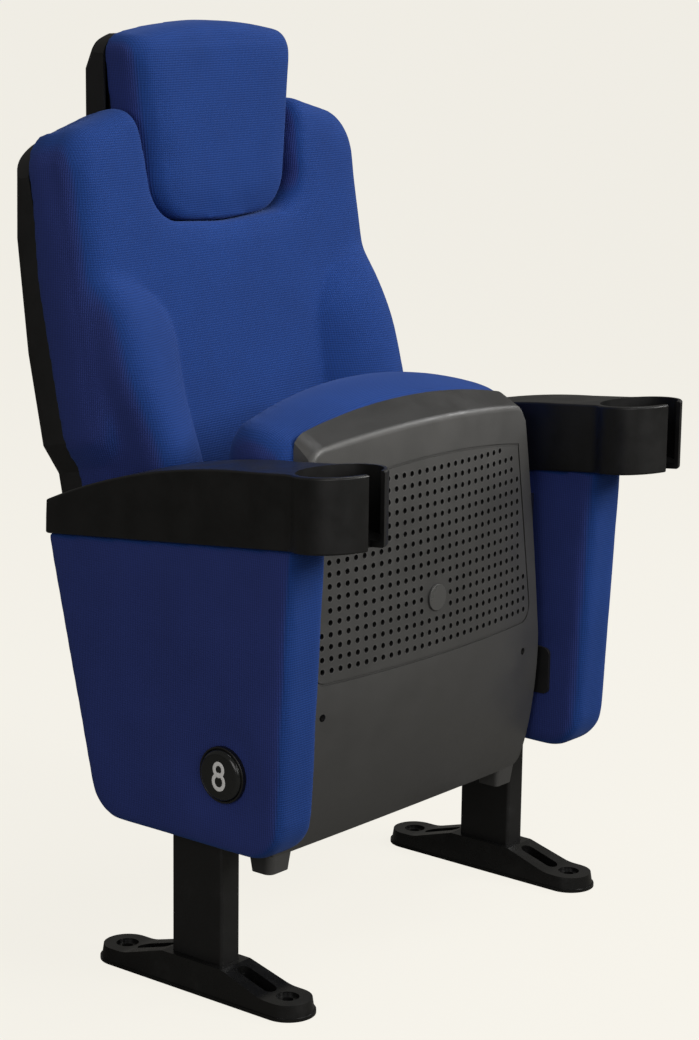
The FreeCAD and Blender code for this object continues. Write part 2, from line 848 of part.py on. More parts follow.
inner_skin = -s.panel_thickness / 2 + s.panel_padding + 1
window = sketch(cover, "YZ_Plane", inner_skin, bracket_outline(s.fit_gap))
pocket(cover, window, "Sizes.panel_padding + 10")
spacer_holes = sketch(cover, "YZ_Plane", inner_skin, [])
for y in (s.back_bolt_front_y, s.back_bolt_rear_y):
    add_circle(spacer_holes, y, s.back_bolt_z, "back_spacer_radius", s.fit_gap)
pocket(cover, spacer_holes, "Sizes.panel_padding + 10")
both_sides(cover)

# Number disc and bezel on the outer face of the left panel

LEFT_FACE = -PANEL_X - s.panel_thickness / 2
bezel = new_body("number_bezel")
bezel.Placement = Placement(Vector(LEFT_FACE, s.disc_y, s.disc_z), Rotation(Vector(0, 1, 0), -90))
ring = sketch(bezel, "XY_Plane", 0, [])
add_circle(ring, 0, 0, "bezel_radius")
add_circle(ring, 0, 0, "disc_radius", s.fit_gap)
pad(bezel, ring, "Sizes.bezel_thickness")
fillet(bezel, "Sizes.bezel_round", lambda edge: abs(edge.BoundBox.ZMin - s.bezel_thickness) < 0.01)
node(bezel)

disc = new_body("number_disc")
disc.Placement = bezel.Placement
face = sketch(disc, "XY_Plane", 0, [])
add_circle(face, 0, 0, "disc_radius")
pad(disc, face, "Sizes.disc_thickness")
fillet(disc, "Sizes.disc_round", lambda edge: abs(edge.BoundBox.ZMin - s.disc_thickness) < 0.01)
node(disc)

# Pivot brackets, pins, stops, spring drums and their covers

PIVOT = (s.pivot_y, s.pivot_z)
STOP = (
    s.pivot_y + s.stop_reach * math.sin(math.radians(s.stop_angle)),
    s.pivot_z + s.stop_reach * math.cos(math.radians(s.stop_angle)),
)
bracket = new_body("right_pivot_bracket")
bracket.Placement.Base = Vector(COLUMN_FACE - s.bracket_thickness, 0, 0)
pad(bracket, sketch(bracket, "YZ_Plane", 0, bracket_outline(0)), "Sizes.bracket_thickness")
bores = sketch(bracket, "YZ_Plane", 0, [])
add_circle(bores, PIVOT[0], PIVOT[1], "pivot_pin_radius", s.running_gap)
add_circle(bores, STOP[0], STOP[1], "stop_pin_radius", s.running_gap)
for z in (s.bracket_bolt_low, s.bracket_bolt_high):
    add_circle(bores, s.bracket_bolt_y, z, "bracket_bolt_radius", s.fit_gap)
pocket(bracket, bores)
sinks = sketch(bracket, "YZ_Plane", s.bracket_bolt_head, [])
for z in (s.bracket_bolt_low, s.bracket_bolt_high):
    add_circle(sinks, s.bracket_bolt_y, z, "bracket_bolt_head_radius", s.fit_gap)
pocket(bracket, sinks, "Sizes.bracket_bolt_head + 1")
both_sides(bracket)

bracket_bolts = []
for side in (-1, 1):
    for z in (s.bracket_bolt_low, s.bracket_bolt_high):
        bracket_bolts.append(screw(
            "bracket_bolt_%d" % len(bracket_bolts),
            Vector(side * (COLUMN_FACE - s.bracket_thickness + s.bracket_bolt_head), s.bracket_bolt_y, z),
            SIDEWAYS * side,
            "bracket_bolt",
            "Sizes.bracket_thickness - Sizes.bracket_bolt_head + Sizes.bracket_bolt_bite",
        ))
node(group("bracket_bolts", bracket_bolts))

COVER_X = COLUMN_FACE - s.bracket_thickness - s.pivot_cover_thickness
ARM_X = COVER_X - s.pivot_arm_gap - s.pivot_arm_thickness
BOSS_X = ARM_X - s.pivot_arm_thickness
hood = new_body("right_pivot_cover")
hood.Placement.Base = Vector(COVER_X, 0, 0)
hub = s.pivot_cover_radius
hood_outline = rounded([
    (s.pivot_y + hub, s.pivot_cover_nose_low, 12),
    (s.pivot_y + hub, s.pivot_z + hub, hub * 0.8),
    (s.pivot_y - hub, s.pivot_z + hub, hub * 0.8),
    (s.pivot_y - hub, s.pivot_cover_nose_high + 4, 4),
    (s.pivot_cover_nose_y, s.pivot_cover_nose_high, 8),
    (s.pivot_cover_nose_y, s.pivot_cover_nose_low, 8),
])
pad(hood, sketch(hood, "YZ_Plane", 0, hood_outline), "Sizes.pivot_cover_thickness")
drum_bed = sketch(hood, "YZ_Plane", s.pivot_cover_thickness - s.spring_drum_width - s.fit_gap, [])
add_circle(drum_bed, PIVOT[0], PIVOT[1], "spring_drum_radius", s.fit_gap)
pocket(hood, drum_bed, "Sizes.pivot_cover_thickness", ahead=True)
pin_ways = sketch(hood, "YZ_Plane", 0, [])
add_circle(pin_ways, PIVOT[0], PIVOT[1], "pivot_pin_radius", s.fit_gap)
add_circle(pin_ways, STOP[0], STOP[1], "stop_pin_radius", s.fit_gap)
pocket(hood, pin_ways)
both_sides(hood)

drum = new_body("right_spring_drum")
drum.Placement.Base = Vector(COLUMN_FACE - s.bracket_thickness - s.spring_drum_width, 0, 0)
coil = sketch(drum, "YZ_Plane", 0, [])
add_circle(coil, PIVOT[0], PIVOT[1], "spring_drum_radius")
add_circle(coil, PIVOT[0], PIVOT[1], "pivot_pin_radius", s.fit_gap)
pad(drum, coil, "Sizes.spring_drum_width")
both_sides(drum)

pin_length = "Sizes.bracket_thickness + Sizes.pivot_cover_thickness"
pin_length += " + Sizes.pivot_arm_gap + 2 * Sizes.pivot_arm_thickness"
pin_start = Vector(COLUMN_FACE, s.pivot_y, s.pivot_z)
both_sides(rod("right_pivot_pin", "Sizes.pivot_pin_radius", pin_length, pin_start, -SIDEWAYS))
stop_length = "Sizes.bracket_thickness + Sizes.pivot_cover_thickness"
stop_length += " + Sizes.pivot_arm_gap + Sizes.pivot_arm_thickness"
stop_start = Vector(COLUMN_FACE, STOP[0], STOP[1])
both_sides(rod("right_stop_pin", "Sizes.stop_pin_radius", stop_length, stop_start, -SIDEWAYS))
sleeve = new_body("right_stop_sleeve")
sleeve.Placement.Base = Vector(ARM_X, 0, 0)
rubber = sketch(sleeve, "YZ_Plane", 0, [])
add_circle(rubber, STOP[0], STOP[1], "stop_pin_radius", s.stop_sleeve_wall)
add_circle(rubber, STOP[0], STOP[1], "stop_pin_radius", s.running_gap)
pad(sleeve, rubber, "Sizes.pivot_arm_thickness")
both_sides(sleeve)

# Pivot arms of the seat: plate with a curved stop slot, boss for the bush, flange on the board

arm = new_body("right_pivot_arm")
arm.Placement.Base = Vector(ARM_X, 0, 0)
radius = s.pivot_arm_radius
front = s.pivot_arm_front_y
front_drop = math.sqrt(radius ** 2 - (s.pivot_y - front) ** 2)
rear_rise = math.sqrt(radius ** 2 - (s.pivot_arm_rear_y - s.pivot_y) ** 2)
arm_plate = [
    line((front, s.pivot_arm_top), (front, s.pivot_z - front_drop)),
    arc(
        (front, s.pivot_z - front_drop),
        (s.pivot_y + radius * 0.8, s.pivot_z - radius * 0.6),
        (s.pivot_arm_rear_y, s.pivot_z + rear_rise),
    ),
    line((s.pivot_arm_rear_y, s.pivot_z + rear_rise), (s.pivot_arm_rear_y, s.pivot_arm_top)),
    line((s.pivot_arm_rear_y, s.pivot_arm_top), (front, s.pivot_arm_top)),
]
pad(arm, sketch(arm, "YZ_Plane", 0, arm_plate), "Sizes.pivot_arm_thickness")
boss = sketch(arm, "YZ_Plane", 0, [])
add_circle(boss, PIVOT[0], PIVOT[1], "pivot_pin_radius", s.bush_wall + s.boss_wall)
pad(arm, boss, "Sizes.pivot_arm_thickness", down=True)
flange = box(front, s.pivot_flange_low, front + 4, s.pivot_arm_top)
pad(arm, sketch(arm, "YZ_Plane", 0, flange), "Sizes.pivot_arm_inset", down=True)
bush_bore = sketch(arm, "YZ_Plane", 0, [])
add_circle(bush_bore, PIVOT[0], PIVOT[1], "pivot_pin_radius", s.bush_wall + s.running_gap)
pocket(arm, bush_bore)
slot_half = s.stop_pin_radius + s.stop_sleeve_wall + 2 * s.running_gap


def round_pivot(distance, angle):
    """Point at a distance from the pivot, angle from upright towards the rear."""
    turned_by = math.radians(angle)
    return (s.pivot_y + distance * math.sin(turned_by), s.pivot_z + distance * math.cos(turned_by))


slot_low = s.stop_angle
slot_high = s.stop_angle + s.seat_travel
slot_mid = (slot_low + slot_high) / 2
end_reach = math.hypot(s.stop_reach, slot_half)
end_turn = math.degrees(math.atan2(slot_half, s.stop_reach))
outer = s.stop_reach + slot_half
inner = s.stop_reach - slot_half
stop_slot = [
    arc(round_pivot(outer, slot_low), round_pivot(outer, slot_mid), round_pivot(outer, slot_high)),
    arc(
        round_pivot(outer, slot_high),
        round_pivot(end_reach, slot_high + end_turn),
        round_pivot(inner, slot_high),
    ),
    arc(round_pivot(inner, slot_high), round_pivot(inner, slot_mid), round_pivot(inner, slot_low)),
    arc(
        round_pivot(inner, slot_low),
        round_pivot(end_reach, slot_low - end_turn),
        round_pivot(outer, slot_low),
    ),
]
pocket(arm, sketch(arm, "YZ_Plane", 0, stop_slot))
SEAT_SCREW_X = ARM_X - s.pivot_arm_inset + 9
flange_run = s.pivot_arm_top - s.pivot_flange_low
SEAT_SCREW_Z = [s.pivot_flange_low + flange_run * share for share in (0.15, 0.5, 0.85)]
flange_holes = sketch(arm, "XZ_Plane", 0, [])
for z in SEAT_SCREW_Z:
    add_circle(flange_holes, SEAT_SCREW_X - ARM_X, z, "seat_screw_radius", s.fit_gap)
pocket(arm, flange_holes)
both_sides(arm)

bush = new_body("right_pivot_bush")
bush.Placement.Base = Vector(BOSS_X, 0, 0)
bush_ring = sketch(bush, "YZ_Plane", 0, [])
add_circle(bush_ring, PIVOT[0], PIVOT[1], "pivot_pin_radius", s.bush_wall)
add_circle(bush_ring, PIVOT[0], PIVOT[1], "pivot_pin_radius", s.running_gap)
pad(bush, bush_ring, "2 * Sizes.pivot_arm_thickness")
both_sides(bush)

# Seat pan: lofted shell bowed across, rolled under below, with a sloping lid band above


PAN_LEAN = math.degrees(math.atan2(s.pan_top_y - s.pan_belt_y, s.pan_ridge - s.pan_belt_z))
PAN_FRAME = Placement(Vector(0, s.pan_belt_y, s.pan_belt_z), Rotation(Vector(1, 0, 0), -PAN_LEAN))


def pan_section(y, z, bow, depth):
    """Section of the pan block across its lean: bowed front, straight sides and back."""
    half = s.pan_low_half + 30
    sag = bow * (half / s.pan_bow_span) ** 2
    front = y + depth
    rear = s.pan_rim_y - s.pan_belt_y + 40
    return free_sketch("pan_section", "XY", z, [
        arc((-half, front + sag), (0, front), (half, front + sag)),
        line((half, front + sag), (half, rear)),
        line((half, rear), (-half, rear)),
        line((-half, rear), (-half, front + sag)),
    ])


def pan_block(label, depth):
    """Block behind the pan's front surface: round upper part, rolled-under lower part."""
    to_pan = PAN_FRAME.inverse()
    flank = to_pan.multVec(Vector(0, s.pan_flank_y, s.pan_flank_z))
    toe = to_pan.multVec(Vector(0, s.pan_toe_y, s.pan_bottom))
    belt = pan_section(0, 0, s.pan_bow, depth)
    upper = extrude(label + "_upper", belt, UPWARD, s.pan_ridge - s.pan_belt_z + 60)
    lower = loft(label + "_lower", [
        belt,
        pan_section(flank.y * 0.05, flank.z * 0.25, s.pan_bow * 0.96, depth),
        pan_section(flank.y, flank.z, s.pan_bow * 0.66, depth),
        pan_section(toe.y, toe.z, s.pan_bow * 0.1, depth),
        pan_section(toe.y + 20, toe.z - 30, 0.5, depth),
    ])
    made = fuse(label, [upper, lower])
    made.Placement = PAN_FRAME
    return made


def side_of_pan(z, inset):
    """Half-width of the pan at a height, along the arc of its flank."""
    first = Vector(s.pan_low_half, s.pan_bottom, 0)
    second = Vector(s.pan_belt_half, s.pan_belt_side_z, 0)
    third = Vector(s.pan_top_half, s.pan_top_side_z, 0)
    flank_arc = Part.Circle(first, second, third)
    drop = z - flank_arc.Center.y
    side = 1 if flank_arc.Center.x < 0 else -1
    return flank_arc.Center.x + side * math.sqrt(flank_arc.Radius ** 2 - drop ** 2) - inset


def pan_front(inset, low, high):
    """Front outline of the pan between two heights, the sides curved."""
    middle = (low + high) / 2
    turn = max(s.pan_low_corner - inset, 2)
    slack = turn * CORNER_SLACK
    low_half = side_of_pan(low + turn, inset)
    return [
        line((-low_half + turn, low), (low_half - turn, low)),
        arc((low_half - turn, low), (low_half - slack, low + slack), (low_half, low + turn)),
        arc(
            (low_half, low + turn),
            (side_of_pan(middle, inset), middle),
            (side_of_pan(high, inset), high),
        ),
        line((side_of_pan(high, inset), high), (-side_of_pan(high, inset), high)),
        arc(
            (-side_of_pan(high, inset), high),
            (-side_of_pan(middle, inset), middle),
            (-low_half, low + turn),
        ),
        arc((-low_half, low + turn), (slack - low_half, low + slack), (turn - low_half, low)),
    ]


def pan_lid(label, drop, inset):
    """Region under the sloping lid: ridge arc with rounded ends, pushed up and back."""
    corner = s.pan_top_corner
    half = side_of_pan(s.pan_ridge - s.pan_ridge_fall - corner, inset)
    ridge_radius = (s.pan_ridge_span ** 2 + s.pan_ridge_fall ** 2) / (2 * s.pan_ridge_fall)
    top = s.pan_ridge - drop

    def ridge(x):
        return top - ridge_radius + math.sqrt(ridge_radius ** 2 - x ** 2)

    shoulder_x = half - corner
    floor = s.pan_ear_bottom - 60
    outline = [
        arc((-shoulder_x, ridge(shoulder_x)), (0, top), (shoulder_x, ridge(shoulder_x))),
        arc(
            (shoulder_x, ridge(shoulder_x)),
            (half - corner * 0.32, ridge(shoulder_x) - corner * 0.36),
            (half + 1, ridge(shoulder_x) - corner * 1.1),
        ),
        line((half + 1, ridge(shoulder_x) - corner * 1.1), (half + 80, ridge(shoulder_x) - corner * 3)),
        line((half + 80, ridge(shoulder_x) - corner * 3), (half + 80, floor)),
        line((half + 80, floor), (-half - 80, floor)),
        line((-half - 80, floor), (-half - 80, ridge(shoulder_x) - corner * 3)),
        line((-half - 80, ridge(shoulder_x) - corner * 3), (-half - 1, ridge(shoulder_x) - corner * 1.1)),
        arc(
            (-half - 1, ridge(shoulder_x) - corner * 1.1),
            (-half + corner * 0.32, ridge(shoulder_x) - corner * 0.36),
            (-shoulder_x, ridge(shoulder_x)),
        ),
    ]
    profile = free_sketch(label + "_outline", "XZ", s.pan_top_y, outline)
    return extrude(label, profile, Vector(0, 1, s.pan_lid_slope), 80, 60)


def pan_body(label, depth, inset, low, rear):
    """Pan volume in front of a plane, drawn in on every side by the wall."""
    outline = free_sketch(label + "_outline", "XZ", rear, pan_front(inset, low, s.pan_ridge + 40))
    prism = extrude(label + "_prism", outline, -REARWARD, 90)
    return common(label, [pan_block(label + "_block", depth), prism, pan_lid(label + "_lid", depth, inset)])


def on_ridge(edge):
    """True for the edges along the front of the ridge."""
    bounds = edge.BoundBox
    high = bounds.ZMin > s.pan_ridge - s.pan_ridge_fall - 2 * s.pan_top_corner
    return high and bounds.YMax < (s.pan_top_y + s.pan_rim_y) / 2


pan_sharp = pan_body("pan_sharp", 0, 0, s.pan_bottom, s.pan_rim_y)
pan_outer = round_edges("pan_outer", pan_sharp, s.pan_ridge_round, on_ridge)
pan_inner = pan_body("pan_inner", s.pan_wall, s.pan_wall, s.pan_bottom + s.pan_wall, s.pan_rim_y + 5)

# two ears under the lower corners, tapering downwards
ears = []
for side in (-1, 1):
    ear_outer = side_of_pan(s.pan_bottom, 0)
    levels = []
    for z, taper in ((s.pan_ear_bottom, s.pan_ear_draft), (s.pan_ear_top, 0)):
        low_x = side * (s.pan_ear_inner + taper)
        high_x = side * (ear_outer - taper)
        levels.append(free_sketch("ear_section", "XY", z, rounded([
            (low_x, s.pan_toe_y + taper, 5),
            (high_x, s.pan_toe_y + taper, 9),
            (high_x, s.pan_ear_rear_y - taper, 5),
            (low_x, s.pan_ear_rear_y - taper, 5),
        ])))
    ears.append(loft("pan_ear", levels))

# bosses for the two recessed screws
bosses = []
recess_tools = []
BOARD_FRONT = s.pan_rim_y - s.seat_board_thickness
for side in (-1, 1):
    boss_start = Vector(side * s.pan_screw_half, BOARD_FRONT, s.pan_screw_z)
    bosses.append(rod("pan_boss", "Sizes.pan_screw_boss", "40", boss_start, -REARWARD))
    recess_tools.append(rod("pan_screw_way", "Sizes.pan_screw_radius + 0.1", "60", boss_start, -REARWARD))
    recess_start = Vector(side * s.pan_screw_half, BOARD_FRONT - s.pan_screw_seat, s.pan_screw_z)
    recess_radius = "Sizes.pan_screw_head_radius + Sizes.pan_screw_room"
    recess_tools.append(rod("pan_screw_recess", recess_radius, "60", recess_start, -REARWARD))
boss_pair = common("pan_bosses", [fuse("pan_boss_rods", bosses), pan_outer])
pan_shell = cut("pan_shell", pan_outer, pan_inner)

# border groove of constant depth round the perforated field


def field_outline(grow):
    """Outline of the perforated field, crowned at the top."""
    low_half = s.pan_groove_low_half + grow
    high_half = s.pan_groove_high_half + grow
    low = s.pan_groove_low - grow
    crown = s.pan_groove_high + grow
    shoulder_z = crown - s.pan_ridge_fall * 0.9
    turn = 20 + grow
    side_corners = rounded([
        (-low_half, low, turn),
        (low_half, low, turn),
        (high_half, shoulder_z, 0),
        (-high_half, shoulder_z, 0),
    ])
    kept = side_corners[:4] + side_corners[5:]
    return kept + [arc((high_half, shoulder_z), (0, crown), (-high_half, shoulder_z))]


ring_sketch = free_sketch("groove_outline", "XZ", s.pan_rim_y, field_outline(s.pan_groove_width / 2))
ring_sketch.addGeometry(field_outline(-s.pan_groove_width / 2), False)
groove_ring = extrude("groove_ring", ring_sketch, -REARWARD, 90)
groove_floor = pan_block("groove_floor", s.pan_groove_depth)
groove_tool = cut("groove_tool", groove_ring, groove_floor)

# perforations in rows, left out round the medallion
hole_depth = 80
hole_boxes = []
rows = int((s.pan_groove_high - s.pan_groove_low - 2 * s.pan_hole_margin) // s.pan_hole_pitch) + 1
first_row = (s.pan_groove_high + s.pan_groove_low - (rows - 1) * s.pan_hole_pitch) / 2
for row in range(rows):
    z = first_row + row * s.pan_hole_pitch
    share = (z - s.pan_groove_low) / (s.pan_groove_high - s.pan_groove_low)
    reach = s.pan_groove_low_half + (s.pan_groove_high_half - s.pan_groove_low_half) * share
    reach -= s.pan_hole_margin
    top_fall = s.pan_ridge_fall * (reach / s.pan_ridge_span) ** 2
    if z > s.pan_groove_high - s.pan_hole_margin - top_fall:
        reach *= 0.8
    steps = int(reach // s.pan_hole_pitch)
    for step in range(-steps, steps + 1):
        x = step * s.pan_hole_pitch
        if math.hypot(x, z - s.medallion_z) > s.medallion_radius + s.pan_hole_side:
            corner = Vector(x - s.pan_hole_side / 2, s.pan_rim_y - hole_depth, z - s.pan_hole_side / 2)
            hole_boxes.append(Part.makeBox(s.pan_hole_side, hole_depth, s.pan_hole_side, corner))
holes = doc.addObject("Part::Feature", "pan_holes")
holes.Shape = Part.makeCompound(hole_boxes)

# medallion recess and the notches for the flanges of the pivot arms
medallion_start = Vector(0, s.pan_belt_y + s.medallion_depth + 1, s.medallion_z)
recess = rod("medallion_recess", "Sizes.medallion_radius + Sizes.fit_gap", "30", medallion_start, -REARWARD)
notch_tools = []
for side in (-1, 1):
    notch = doc.addObject("Part::Box", "flange_notch")
    notch.Length = s.pan_low_half
    notch.Width = s.pan_rim_y - s.pivot_arm_front_y + 10
    notch.Height = s.pivot_arm_top - s.pivot_flange_low + 2 * s.fit_gap
    start_x = ARM_X - s.pivot_arm_inset - s.fit_gap
    if side < 0:
        start_x = -start_x - s.pan_low_half
    notch.Placement.Base = Vector(start_x, s.pivot_arm_front_y - s.fit_gap, s.pivot_flange_low - s.fit_gap)
    notch_tools.append(notch)
pan_solid = fuse("pan_solid", [pan_shell, boss_pair] + ears)
pan_tools = fuse("pan_tools", recess_tools + [recess, groove_tool] + notch_tools)
pan_plain = cut("pan_plain", pan_solid, pan_tools)
node(cut("seat_pan", pan_plain, holes))

medallion = new_body("pan_medallion")
medallion.Placement = Placement(medallion_start, Rotation(Vector(1, 0, 0), 90))
coin = sketch(medallion, "XY_Plane", 0, [])
add_circle(coin, 0, 0, "medallion_radius")
pad(medallion, coin, "Sizes.medallion_depth + Sizes.medallion_stand")
fillet(medallion, "0.6", lambda edge: edge.BoundBox.ZMin > 1)
node(medallion)

pan_screws = []
for side in (-1, 1):
    pan_screws.append(screw(
        "pan_screw_%d" % len(pan_screws),
        Vector(side * s.pan_screw_half, BOARD_FRONT - s.pan_screw_seat, s.pan_screw_z),
        REARWARD,
        "pan_screw",
        "Sizes.pan_screw_seat + Sizes.seat_screw_bite",
    ))
node(group("pan_screws", pan_screws))

# Seat board inside the rim of the pan, with its screws

board = new_body("seat_board")
board_outline = pan_front(s.seat_board_inset, s.seat_board_bottom, s.seat_board_top)
board_sketch = sketch(board, "XZ_Plane", -BOARD_FRONT, board_outline)
pad(board, board_sketch, "Sizes.seat_board_thickness", down=True)
pilots = sketch(board, "XZ_Plane", -BOARD_FRONT, [])
for side in (-1, 1):
    for z in SEAT_SCREW_Z:
        add_circle(pilots, side * SEAT_SCREW_X, z, "seat_screw_radius", s.running_gap)
    add_circle(pilots, side * s.pan_screw_half, s.pan_screw_z, "pan_screw_radius", s.running_gap)
pocket(board, pilots, "Sizes.seat_screw_bite + 1")
node(board)

seat_screws = []
for side in (-1, 1):
    for z in SEAT_SCREW_Z:
        seat_screws.append(screw(
            "seat_screw_%d" % len(seat_screws),
            Vector(side * SEAT_SCREW_X, s.pivot_arm_front_y, z),
            REARWARD,
            "seat_screw",
            "4 + Sizes.seat_screw_bite",
        ))
node(group("seat_screws", seat_screws))

# Seat cushion: pillow with a crowned top edge and slightly drawn-in sides


def seat_pillow(inset, top_drop):
    """Front outline of the seat cushion, drawn in evenly."""
    half = s.seat_cushion_half - inset
    top_half = s.seat_cushion_top_half - inset
    low = s.seat_cushion_bottom + inset
    side_top = s.seat_cushion_side_top - top_drop
    crest = s.seat_cushion_crest - top_drop
    turn = s.seat_cushion_corner * 0.6
    slack = turn * CORNER_SLACK
    top_turn = s.seat_cushion_corner
    mid_z = (low + turn + side_top - top_turn) / 2
    mid_half = (half + top_half) / 2 - s.seat_cushion_drawn
    shoulder_z = side_top + (crest - side_top) * 0.18
    right = [
        arc((half - turn, low), (half - slack, low + slack), (half, low + turn)),
        arc((half, low + turn), (mid_half, mid_z), (top_half, side_top - top_turn)),
        arc(
            (top_half, side_top - top_turn),
            (top_half - top_turn * 0.25, side_top - top_turn * 0.25),
            (top_half - top_turn, shoulder_z),
        ),
    ]
    left = [
        arc(
            (-top_half + top_turn, shoulder_z),
            (-top_half + top_turn * 0.25, side_top - top_turn * 0.25),
            (-top_half, side_top - top_turn),
        ),
        arc((-top_half, side_top - top_turn), (-mid_half, mid_z), (-half, low + turn)),
        arc((-half, low + turn), (slack - half, low + slack), (turn - half, low)),
    ]
    crest_arc = arc((top_half - top_turn, shoulder_z), (0, crest), (-top_half + top_turn, shoulder_z))
    return [line((-half + turn, low), (half - turn, low))] + right + [crest_arc] + left


SEAT_REAR = s.pan_rim_y + s.fit_gap
seat_layers = []
for share, inset, top_drop in (
    (0.0, 6, 16),
    (0.2, 1, 8),
    (0.5, 2, 1),
    (0.8, 14, 3),
    (1.0, 50, 26),
):
    layer_y = SEAT_REAR + share * s.seat_cushion_depth
    seat_layers.append(free_sketch("seat_layer", "XZ", layer_y, seat_pillow(inset, top_drop)))
node(loft("seat_cushion", seat_layers))

# Back: shell, board and cushion, drawn upright and then leaned together

BACK = Placement(Vector(0, s.back_foot_y, s.back_foot_z), Rotation(Vector(1, 0, 0), -s.back_lean))
STEP_HIGH = s.back_low_height + 2 * (s.back_half - s.back_low_half)


def leaned(y, z):
    """Position in the seat's frame of a point (y, z) of the leaning back."""
    point = BACK.multVec(Vector(0, y, z))
    return (point.y, point.z)


def back_outline(inset, low, top, inner_top):
    """Outline of the back: narrow between the arms, wide above, notched for the headrest."""
    half = s.back_half - inset
    low_half = s.back_low_half - inset
    turn = s.back_step_round
    notch_inset = inset * s.back_notch_roll
    notch = s.back_notch_half + notch_inset
    notch_low = s.back_notch_low - notch_inset
    right = [
        (low_half, low + inset, s.back_low_corner),
        (low_half, s.back_low_height, turn),
        (half, STEP_HIGH, turn),
        (half, top - inset, s.back_shoulder_corner),
        (notch, inner_top - inset, s.back_notch_lip),
        (notch - s.back_notch_taper, notch_low + s.headrest_sag, s.headrest_low_corner),
    ]
    left = [(-u, v, radius) for u, v, radius in reversed(right)]
    return rounded(right + [(0, notch_low, s.headrest_sag_round)] + left)


def cup_section(z, half, front, rear, turn):
    """Level section of a moulded shell: open front side, rear corners rounded."""
    slack = turn * CORNER_SLACK
    return free_sketch("cup_section", "XY", z, [
        line((-half, front), (half, front)),
        line((half, front), (half, rear - turn)),
        arc((half, rear - turn), (half - slack, rear - slack), (half - turn, rear)),
        line((half - turn, rear), (turn - half, rear)),
        arc((turn - half, rear), (slack - half, rear - slack), (-half, rear - turn)),
        line((-half, rear - turn), (-half, front)),
    ])


def cup(label, levels, front, wall):
    """Ruled body through level sections (z, half-width, rear, corner), drawn in by the wall."""
    made = loft(label, [
        cup_section(z, half - wall, front, rear - wall, turn - wall * 0.8) for z, half, rear, turn in levels
    ])
    made.Ruled = True
    return made


def shoulders(label, half, top, corner, front, depth):
    """Prism with rounded upper corners that trims a shell."""
    outline = rounded([(-half, -20, 0), (half, -20, 0), (half, top, corner), (-half, top, corner)])
    return extrude(label, free_sketch(label + "_outline", "XZ", front, outline), REARWARD, depth)


def back_levels(wall):
    depth = s.back_shell_depth
    turn = s.back_shell_round
    return [
        (wall, s.back_low_half, depth - 10, turn),
        (wall + 12, s.back_low_half, depth, turn),
        (s.back_low_height, s.back_low_half, depth, turn),
        (STEP_HIGH, s.back_half, depth, turn),
        (s.back_shell_bend, s.back_half, depth, turn),
        (s.back_shell_upper, s.back_half, s.back_shell_upper_depth, turn),
        (s.back_shell_top - wall, s.back_half, s.back_shell_lip, turn),
    ]


wall = s.back_shell_wall
trim_half = s.back_half + 5
trim_top = s.back_shell_top + 5
shell_outer = common("shell_outer", [
    cup("shell_outer_cup", back_levels(0), 0, 0),
    shoulders("shell_outer_trim", trim_half, trim_top, s.back_shell_corner, -9, 99),
])
shell_inner = common("shell_inner", [
    cup("shell_inner_cup", back_levels(wall), -9, wall),
    shoulders("shell_inner_trim", trim_half - wall, trim_top - wall, s.back_shell_corner, -9, 99),
])
shell_plain = cut("shell_plain", shell_outer, shell_inner)
shell_plain.Placement = BACK

# seat for the headrest shell, and the holes for the bolts of the back brackets
shell_tools = []


def headrest_room(label, front):
    """Space for the headrest shell, from a depth rearwards, clear of it on every side."""
    half = s.headrest_shell_half + s.fit_gap
    room = doc.addObject("Part::Box", label)
    room.Length = 2 * half
    room.Width = 200
    room.Height = 200
    room.Placement.Base = Vector(-half, front, s.headrest_shell_bottom - s.fit_gap)
    return room


shell_tools.append(headrest_room("headrest_saddle", s.headrest_seam_y - 60))
SHELL_BOLTS = [(s.back_bolt_shell_y, s.back_bolt_shell_low), (s.back_bolt_shell_y, s.back_bolt_shell_high)]
for y, z in SHELL_BOLTS:
    start = Vector(-s.back_half, y, z)
    bolt_way = "Sizes.back_bolt_radius + Sizes.fit_gap"
    shell_tools.append(rod("shell_bolt_hole", bolt_way, "2 * Sizes.back_half", start, SIDEWAYS))
node(cut("back_shell", shell_plain, fuse("shell_tools", shell_tools)))

board_half = s.back_half - wall - s.back_board_inset
board_low_half = s.back_low_half - wall - s.back_board_inset
back_board = new_body("back_board")
back_board.Placement = BACK
back_board_outline = rounded([
    (-board_low_half, wall + 10, 20),
    (board_low_half, wall + 10, 20),
    (board_low_half, s.back_low_height + 4, 8),
    (board_half, STEP_HIGH + 4, 8),
    (board_half, s.back_board_top, 40),
    (-board_half, s.back_board_top, 40),
    (-board_half, STEP_HIGH + 4, 8),
    (-board_low_half, s.back_low_height + 4, 8),
])
back_board_sketch = sketch(back_board, "XZ_Plane", 0, back_board_outline)
pad(back_board, back_board_sketch, "Sizes.back_board_thickness", down=True)
back_pilots = sketch(back_board, "XZ_Plane", -s.back_board_thickness, [])
STAY_LOW = s.back_board_top - 40
for side in (-1, 1):
    add_circle(back_pilots, side * s.stay_half, STAY_LOW, "stay_screw_radius", s.running_gap)
pocket(back_board, back_pilots, "Sizes.stay_screw_bite + 1", ahead=True)
node(back_board)

# Back cushion: crowned pad with drawn-in edges, and a bolster on each side
back_layers = []
for share, inset in ((0.0, 3), (0.4, 1), (0.75, 3), (1.0, s.back_cushion_crown)):
    layer_y = -s.fit_gap - share * s.back_cushion_front
    outline = back_outline(inset, 0, s.back_shoulder, s.back_shoulder_inner)
    back_layers.append(free_sketch("back_layer", "XZ", layer_y, outline, share * s.back_cushion_lean))
back_pad = loft("back_pad", back_layers)


